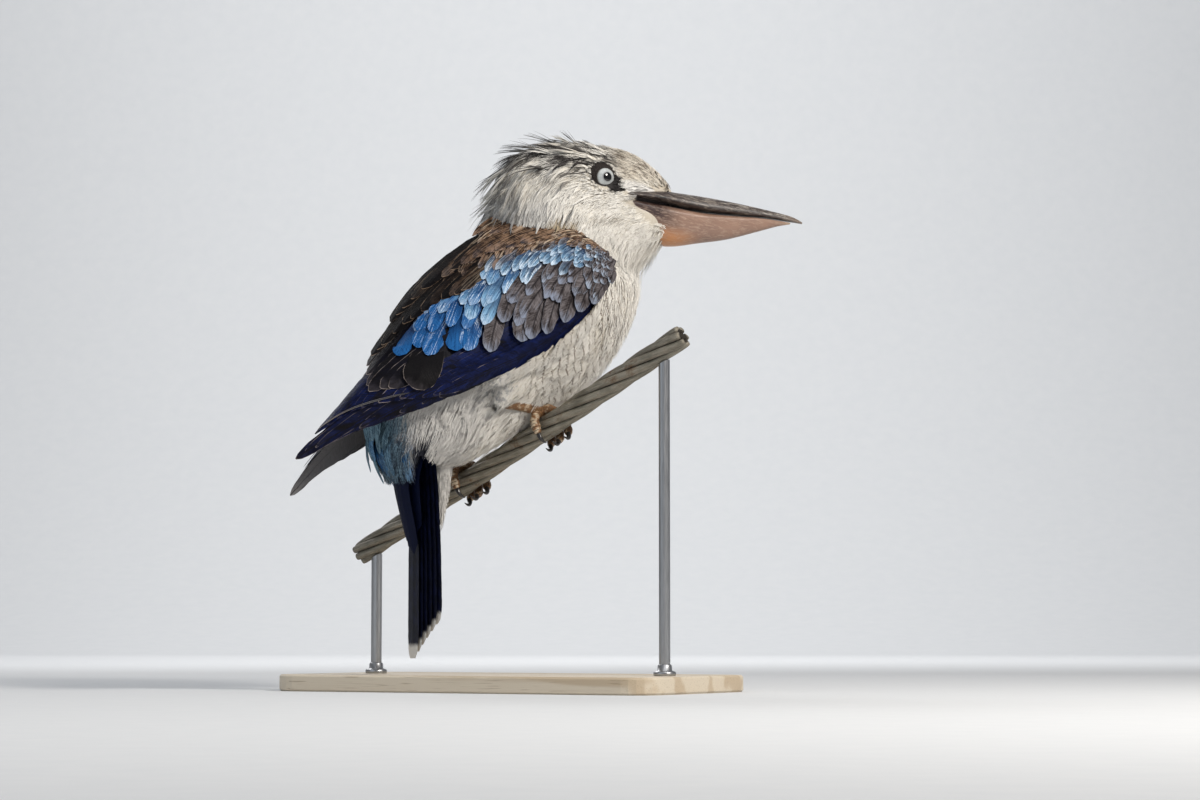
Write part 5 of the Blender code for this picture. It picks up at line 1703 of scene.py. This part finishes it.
def grow(name, surface, u, v, places, *, length, half, lift, depth, strands=5, thick=0.28, stations=4,
         gather=0.9, sway=0.12, seed=0):
    """Tufts at (u, v) that flow towards lower u. Lengths are arrays or numbers in millimetres."""
    rng = np.random.default_rng(seed)
    count = len(u)
    length, half, lift, depth, thick = (
        np.broadcast_to(np.asarray(x, float), (count,))[:, None, None] for x in (
            length, half, lift, depth, thick,
        )
    )
    draw = rng.random(count)
    along, across, _ = slopes(surface, u, v)
    back = (-1 / np.linalg.norm(along, axis=-1))[:, None, None]
    aside = (rng.normal(0, sway, count) / np.linalg.norm(across, axis=-1))[:, None, None]
    share = np.linspace(-1, 1, strands)[None] + rng.normal(0, 0.16, (count, strands))
    stretch = (1 - 0.22 * share ** 2) * rng.normal(1, 0.09, (count, strands))
    size = rng.normal(1, 0.10, count)
    t = np.linspace(0, 1, stations)
    reach = length * size[:, None, None] * stretch[..., None] * t
    # The surface is read along each strand, so that a tuft follows the curve of the body.
    uu = u[:, None, None] + back * reach
    vv = v[:, None, None] + aside * reach
    along, across, outward = slopes(surface, uu, vv)
    beside = np.cross(outward, unit(along * back[..., None] + across * aside[..., None]))
    if gather > 0.5:
        spread = 0.25 + (gather - 0.25) * np.sin(np.minimum(t * 1.25, 1.0) * math.pi / 2)
    else:
        spread = blend(0.7, gather, t)
    rise = -depth * (1 - t) ** 1.6 + lift * rng.uniform(0.5, 1.3, count)[:, None, None] * t ** 1.5
    rise = rise + rng.normal(0, 0.16, (count, strands))[..., None] * t
    offset = share[..., None] * half * spread + rng.normal(0, 0.05, (count, strands, 1)) * reach * 0.4
    path = surface(uu, vv) + outward * rise[..., None] + beside * offset[..., None]
    # Each strand is a three-sided sliver: two corners beside its path and one over it.
    wide = (thick * (1 - 0.88 * t ** 2.2) * np.ones_like(reach))[..., None]
    corners = np.stack([beside * wide, outward * wide * 0.7, -beside * wide], -2)
    normals = unit(outward[..., None, :] + corners / np.maximum(wide[..., None], 1e-6) * 0.45)
    points = path[..., None, :] + corners
    ring = np.arange(stations * 3).reshape(stations, 3)
    a, b = ring[:-1], ring[1:]
    quads = np.stack([a, np.roll(a, -1, 1), np.roll(b, -1, 1), b], -1).reshape(-1, 4)
    faces = np.concatenate([quads[:, [0, 1, 2]], quads[:, [0, 2, 3]], ring[:1, ::-1], ring[-1:]])
    faces = (np.arange(count * strands)[:, None, None] * stations * 3 + faces[None]).reshape(-1, 3)
    shape = (count, strands, stations, 3)
    parts = (share[..., None, None], t[:, None], draw[:, None, None, None])
    vane = np.stack([np.broadcast_to(part, shape) for part in parts], -1)
    on_body, on_head = (
        np.broadcast_to(
            x[:, None, None, None, :], (*shape, 3),
        ).reshape(-1, 3) for x in coordinates(surface(u, v))
    )
    patch = np.clip(np.stack([vane[..., 0] / 1.4, 2 * vane[..., 1] - 1], -1), -1, 1)
    patch = places[:, None, None, None, :] + TUFT_PATCH * patch
    made = piece(
        name, points, faces, coat.material, places=patch.reshape(-1, 2), normals=normals.reshape(-1, 3),
        vane=vane.reshape(-1, 3), on_body=on_body, on_head=on_head, own_body=coordinates(
            points.reshape(-1, 3)
        )[0],
    )
    print(name, count, "tufts", len(faces), "triangles")


# %% Where the coat grows
coat = plumage("coat_marks", Sheen_Weight=0.15)
# The coat's pieces end at these sections of the flesh.
COAT_BOUNDS = (0.0, 2.2, 3.6, 4.8, 6.0, 7.4, 9.0, 10.6, 12.2, 15.0)


def body_gap(u):
    return np.interp(u, (0, 5.5, 7, 8.5, 10, 13, 15), (2.5, 2.3, 1.9, 1.5, 1.25, 1.1, 0.95))


def hidden_trees():
    """Search trees of all that lies over the flesh: the wings' coverts and arms, and the bill."""
    made = []
    for cover in COVERS + [bpy.data.objects[f"bill_{name}_horn"] for name in ("upper", "lower")]:
        mesh = cover.data
        made.append(
            BVHTree.FromPolygons(
                [vertex.co for vertex in mesh.vertices], [p.vertices for p in mesh.polygons]
            )
        )
    return made


def seen_from_outside(u, v):
    """Which places of the flesh are covered by nothing for 14 mm outwards."""
    trees, points, normals = hidden_trees(), flesh(u, v), slopes(flesh, u, v)[2]
    kept = []
    for point, normal in zip(points * MM, normals):
        start = Vector(point - normal * 0.004)
        kept.append(all(tree.ray_cast(start, Vector(normal), 0.018)[0] is None for tree in trees))
    return np.array(kept)


def eye_distance(points):
    """Distance of points from the nearer eye's axis, in millimetres."""
    _, on_head = coordinates(points)
    mirror = np.where(on_head[:, 1:2] > 0, 1, MIRROR)
    centre, outward, _, _ = eye_axes(1)
    outward = outward * mirror
    away = on_head - centre * mirror
    return np.linalg.norm(away - outward * (away * outward).sum(-1, keepdims=True), axis=-1)


def build_coat():
    u, v = scatter(flesh, 0.3, LAST_SECTION - 0.05, body_gap, 3)
    points = flesh(u, v)
    _, on_head = coordinates(points)
    in_gape = (on_head[:, 0] > 27) & (np.abs(on_head[:, 2] - 6.5) < 4.0) | (on_head[:, 0] > 50)
    kept = seen_from_outside(u, v) & (eye_distance(points) > 6.3) & ~in_gape
    u, v, points, on_head = u[kept], v[kept], points[kept], on_head[kept]
    places = flesh_places(u, v)
    near_eye = np.clip((eye_distance(points) - 5.5) / 12.0, 0.22, 1.0)
    near_eye = np.where(u > 9, near_eye, 1.0)
    length = (
        np.interp(u, (0, 3, 6, 8, 9.5, 11, 12.5, 14, 15), (12, 11, 10, 10, 11, 10.5, 8.5, 5.0, 3.5))
        * near_eye
    )
    chin = np.clip((on_head[:, 0] - 15) / 15, 0, 1) * np.clip((-4 - on_head[:, 2]) / 6, 0, 1)
    cheek = np.clip((u - 11) / 2, 0, 1) * np.clip((2 - on_head[:, 2]) / 6, 0, 1)
    length = length + chin * 5.0 + 2.5 * cheek
    half = (
        np.interp(u, (0, 6, 8, 10, 13, 15), (3.2, 3.0, 2.3, 1.4, 0.9, 0.6))
        * np.clip(near_eye * 1.2, 0.5, 1)
    )
    lift = np.interp(u, (0, 6, 9, 12, 15), (1.0, 0.9, 0.9, 0.7, 0.5)) * near_eye + chin * 1.5 + 0.8 * cheek
    thick = np.interp(u, (0, 6, 9, 13, 15), (0.34, 0.32, 0.26, 0.19, 0.16))
    for number, (low, high) in enumerate(zip(COAT_BOUNDS, COAT_BOUNDS[1:])):
        chosen = (u >= low) & (u < high)
        on_body = high < 9.5
        grow(
            f"coat_{number}", flesh, u[chosen], v[chosen], places[chosen], length=length[chosen],
            half=half[chosen], lift=lift[chosen], depth=coat_depth(u[chosen]), thick=thick[chosen],
            strands=5 if on_body else 4, stations=4 if high < 11 else 3, seed=20 + number,
        )


build_coat()


# %% The fluffy root of the tail


def limb_places(u, v, start):
    """A part of the bake map beside the body's, for tail root, wedge or thigh."""
    return np.stack([0.83 + 0.14 * u, start + 0.2 * v / FULL_TURN], -1)


def build_tail_base():
    u, v = scatter(tail_base, 0.16, 0.98, 2.0, 51)
    lift = np.where(np.cos(v) > 0.3, 0.8, 1.0)
    length = np.random.default_rng(53).uniform(7.0, 13.0, len(u)) * np.clip(0.55 + u, 0.6, 1.0)
    grow("coat_tail_root", tail_base, u, v, limb_places(u, v, 0.02), length=length, half=2.2,
         lift=lift * 1.6, depth=1.6, thick=0.26, seed=52, sway=0.22, gather=0.5)


def undertail(share, angle):
    """The white wedge before the tail: share 1 is its top, under the vent."""
    share, angle = np.broadcast_arrays(np.asarray(share, float), np.asarray(angle, float))
    down = 1 - share
    radius = 7.2 * np.maximum(1 - down, 0) ** 0.8 + 0.8
    middle = -43.5 + 1.5 * np.sin(down * math.pi) + 1.5 * down
    up = 10.0 - 50.0 * down
    return body_place(np.stack([middle - 0.95 * radius * np.cos(angle), radius * np.sin(angle), up], -1))


def build_undertail():
    rings = undertail(np.linspace(1.0, 0.06, 24)[:, None], ring_angles(20))[:, ::-1]
    on_body, on_head = coordinates(rings)
    core = rings_mesh(
        "undertail_core", rings, coat.material, on_body=on_body, on_head=on_head, own_body=on_body,
    )
    u, v = scatter(undertail, 0.12, 0.98, 1.5, 57)
    grow("coat_undertail", undertail, u, v, limb_places(u, v, 0.24), length=9.0, half=1.5, lift=0.7,
         depth=1.0, thick=0.24, seed=58, sway=0.10)


def build_vent_plumes():
    """Loose long plumes of vent and rear flanks, lifted a little by the wind."""
    u, v = scatter(flesh, 0.5, 4.6, 4.2, 61)
    low = np.abs(v - math.pi) < 1.5
    u, v = u[low], v[low]
    kept = seen_from_outside(u, v)
    u, v = u[kept], v[kept]
    rng = np.random.default_rng(62)
    grow("vent_plumes", flesh, u, v, flesh_places(u, v), length=rng.uniform(12.0, 19.0, len(u)), half=2.8,
         lift=rng.uniform(
             1.0, 3.2, len(u),
         ), depth=1.5, strands=9, thick=0.22, stations=5, gather=0.35, sway=0.30,
         seed=63)


build_tail_base()
build_undertail()
build_vent_plumes()


def build_thigh_coat():
    for foot, side in SIDES.items():
        surface = thigh_surface(foot)

        def upward(u, angle, surface=surface):
            """The thigh with its foot at 0, turning the other way, so that its tufts flow down."""
            return surface(1 - np.asarray(u, float), -np.asarray(angle, float))

        u, v = scatter(upward, 0.01, 0.75, 1.9, 31 + side)
        places = limb_places(u, v, 0.25 if side > 0 else 0.75)
        length = np.clip(5.0 + 31.0 * u, 5.0, 11.0)
        grow(f"coat_thigh_{foot}", upward, u, v, places, length=length, half=2.0, lift=0.6,
             depth=1.4, thick=0.24, seed=40 + side)


build_thigh_coat()


# %% Crest
# Place along the flesh, count, reach round the head in degrees, length, height of the tips.
CREST_ROWS = (
    (13.0, 9, 34, 11.0, 1.6), (
        12.3, 12, 46, 14.0, 2.6,
    ), (11.7, 15, 54, 17.0, 3.8), (11.2, 17, 62, 20.0, 5.5),
    (
        10.6, 19, 74, 21.0, 6.5,
    ), (10.1, 22, 80, 20.0, 7.5), (9.5, 24, 88, 18.0, 8.0), (8.9, 26, 90, 16.0, 7.5),
    (8.3, 26, 88, 15.0, 6.5), (7.8, 24, 84, 13.0, 5.0),
)


def build_locks():
    """Long pointed locks of crown and nape, wind-blown, each a bundle drawn together at its tip."""
    rng = np.random.default_rng(12)
    u = np.concatenate([at + rng.normal(0, 0.10, count) for at, count, *_ in CREST_ROWS])
    v = np.concatenate([
        np.radians(np.linspace(-reach, reach, count)) + rng.normal(0, 0.05, count)
        for _, count, reach, *_ in CREST_ROWS
    ])
    sideways = 1 - 0.45 * np.clip((np.abs(v) - 0.6) / 0.9, 0, 1)
    length = (
        np.concatenate([rng.normal(size, 1.8, count) for _, count, _, size, _ in CREST_ROWS]) * sideways
    )
    lift = np.concatenate([rng.gamma(7.0, height / 7.0, count) for _, count, _, _, height in CREST_ROWS])
    lift = lift * sideways ** 2
    clear = eye_distance(flesh(u, v)) > 11.0
    u, v, length, lift = u[clear], v[clear], length[clear], lift[clear]
    places = flesh_places(u, v % FULL_TURN)
    grow("crest_locks", flesh, u, v, places, length=length, half=1.5, lift=lift, depth=1.2, strands=8,
         thick=0.44, stations=6, gather=0.06, sway=0.16, seed=77)


build_locks()


# %% Fringes at chin and bill


def lip(u, angle):
    """The flesh's front end, run on forward over the bill; lower u lies further forward."""
    u, angle = np.broadcast_arrays(np.asarray(u, float), np.asarray(angle, float))
    edge = LAST_SECTION - 0.35
    step = (flesh(edge + 0 * u, angle) - flesh(edge - 0.25 + 0 * u, angle)) / 0.25
    return flesh(edge - np.maximum(u, 0), angle) + step * np.maximum(-u, 0)[..., None]


def build_fringes():
    rng = np.random.default_rng(91)
    u, v = scatter(flesh, 11.2, LAST_SECTION - 0.1, 1.9, 92)
    _, on_head = coordinates(flesh(u, v))
    front, rise = on_head[:, 0], on_head[:, 2]
    kept = (rise < -4 - 0.1 * (front - 30)) & (front > 20)
    u, v = u[kept], v[kept]
    low = np.clip((-6 - rise[kept]) / 12, 0, 1)
    grow("chin_fringe", flesh, u, v, flesh_places(u, v), length=8.5 + 5.5 * low, half=1.6,
         lift=1.4 + 5.2 * low, depth=0.9, strands=6, thick=0.15, gather=0.3, sway=0.32, seed=93)
    v = ring_angles(150) + rng.normal(0, 0.012, 150)
    u = rng.uniform(0.05, 0.9, len(v))
    _, on_head = coordinates(lip(u, v))
    kept = np.abs(on_head[:, 2] - 6.5) > 3.5
    u, v = u[kept], v[kept]
    places = np.stack([0.80 + 0.02 * u, v / FULL_TURN], -1)
    low = np.clip((4 - on_head[kept, 2]) / 10, 0, 1)
    grow("bill_fringe", lip, u, v, places, length=3.2 + 2.2 * low, half=0.8, lift=0.5 + 0.3 * low,
         depth=0.5, strands=4, thick=0.14, stations=3, gather=0.3, sway=0.30, seed=94)


EDGE_TUFTS = 260


def build_breast_edge():
    """Breast feathers that lie over the folded wing's leading edge."""
    for name, side in SIDES.items():

        def over_edge(u, v, side=side):
            u, v = np.broadcast_arrays(np.asarray(u, float), np.asarray(v, float))
            along, across = 0.02 + 0.52 * (1 - u), -0.16 + (0.04 + 0.17 * u) * v + 0.05 * (1 - u)
            points = shield(along, across) + shield_out(along, across) * 0.9
            return body_place(drooped(points * MIRROR) if side > 0 else points)

        rng = np.random.default_rng(95 + side)
        u = 1 - 0.85 * rng.uniform(0.03, 1.0, EDGE_TUFTS) ** 1.3
        v = np.clip(rng.normal(0.62, 0.40, EDGE_TUFTS), -0.8, 1.0)
        places = np.stack([0.88 + 0.10 * u, (0.45 if side > 0 else 0.60) + 0.12 * v], -1)
        grow(f"breast_edge_{name}", over_edge, u, v, places, length=11.0, half=2.6, lift=0.7, depth=2.4,
             thick=0.30, seed=97 + side)


build_fringes()
build_breast_edge()
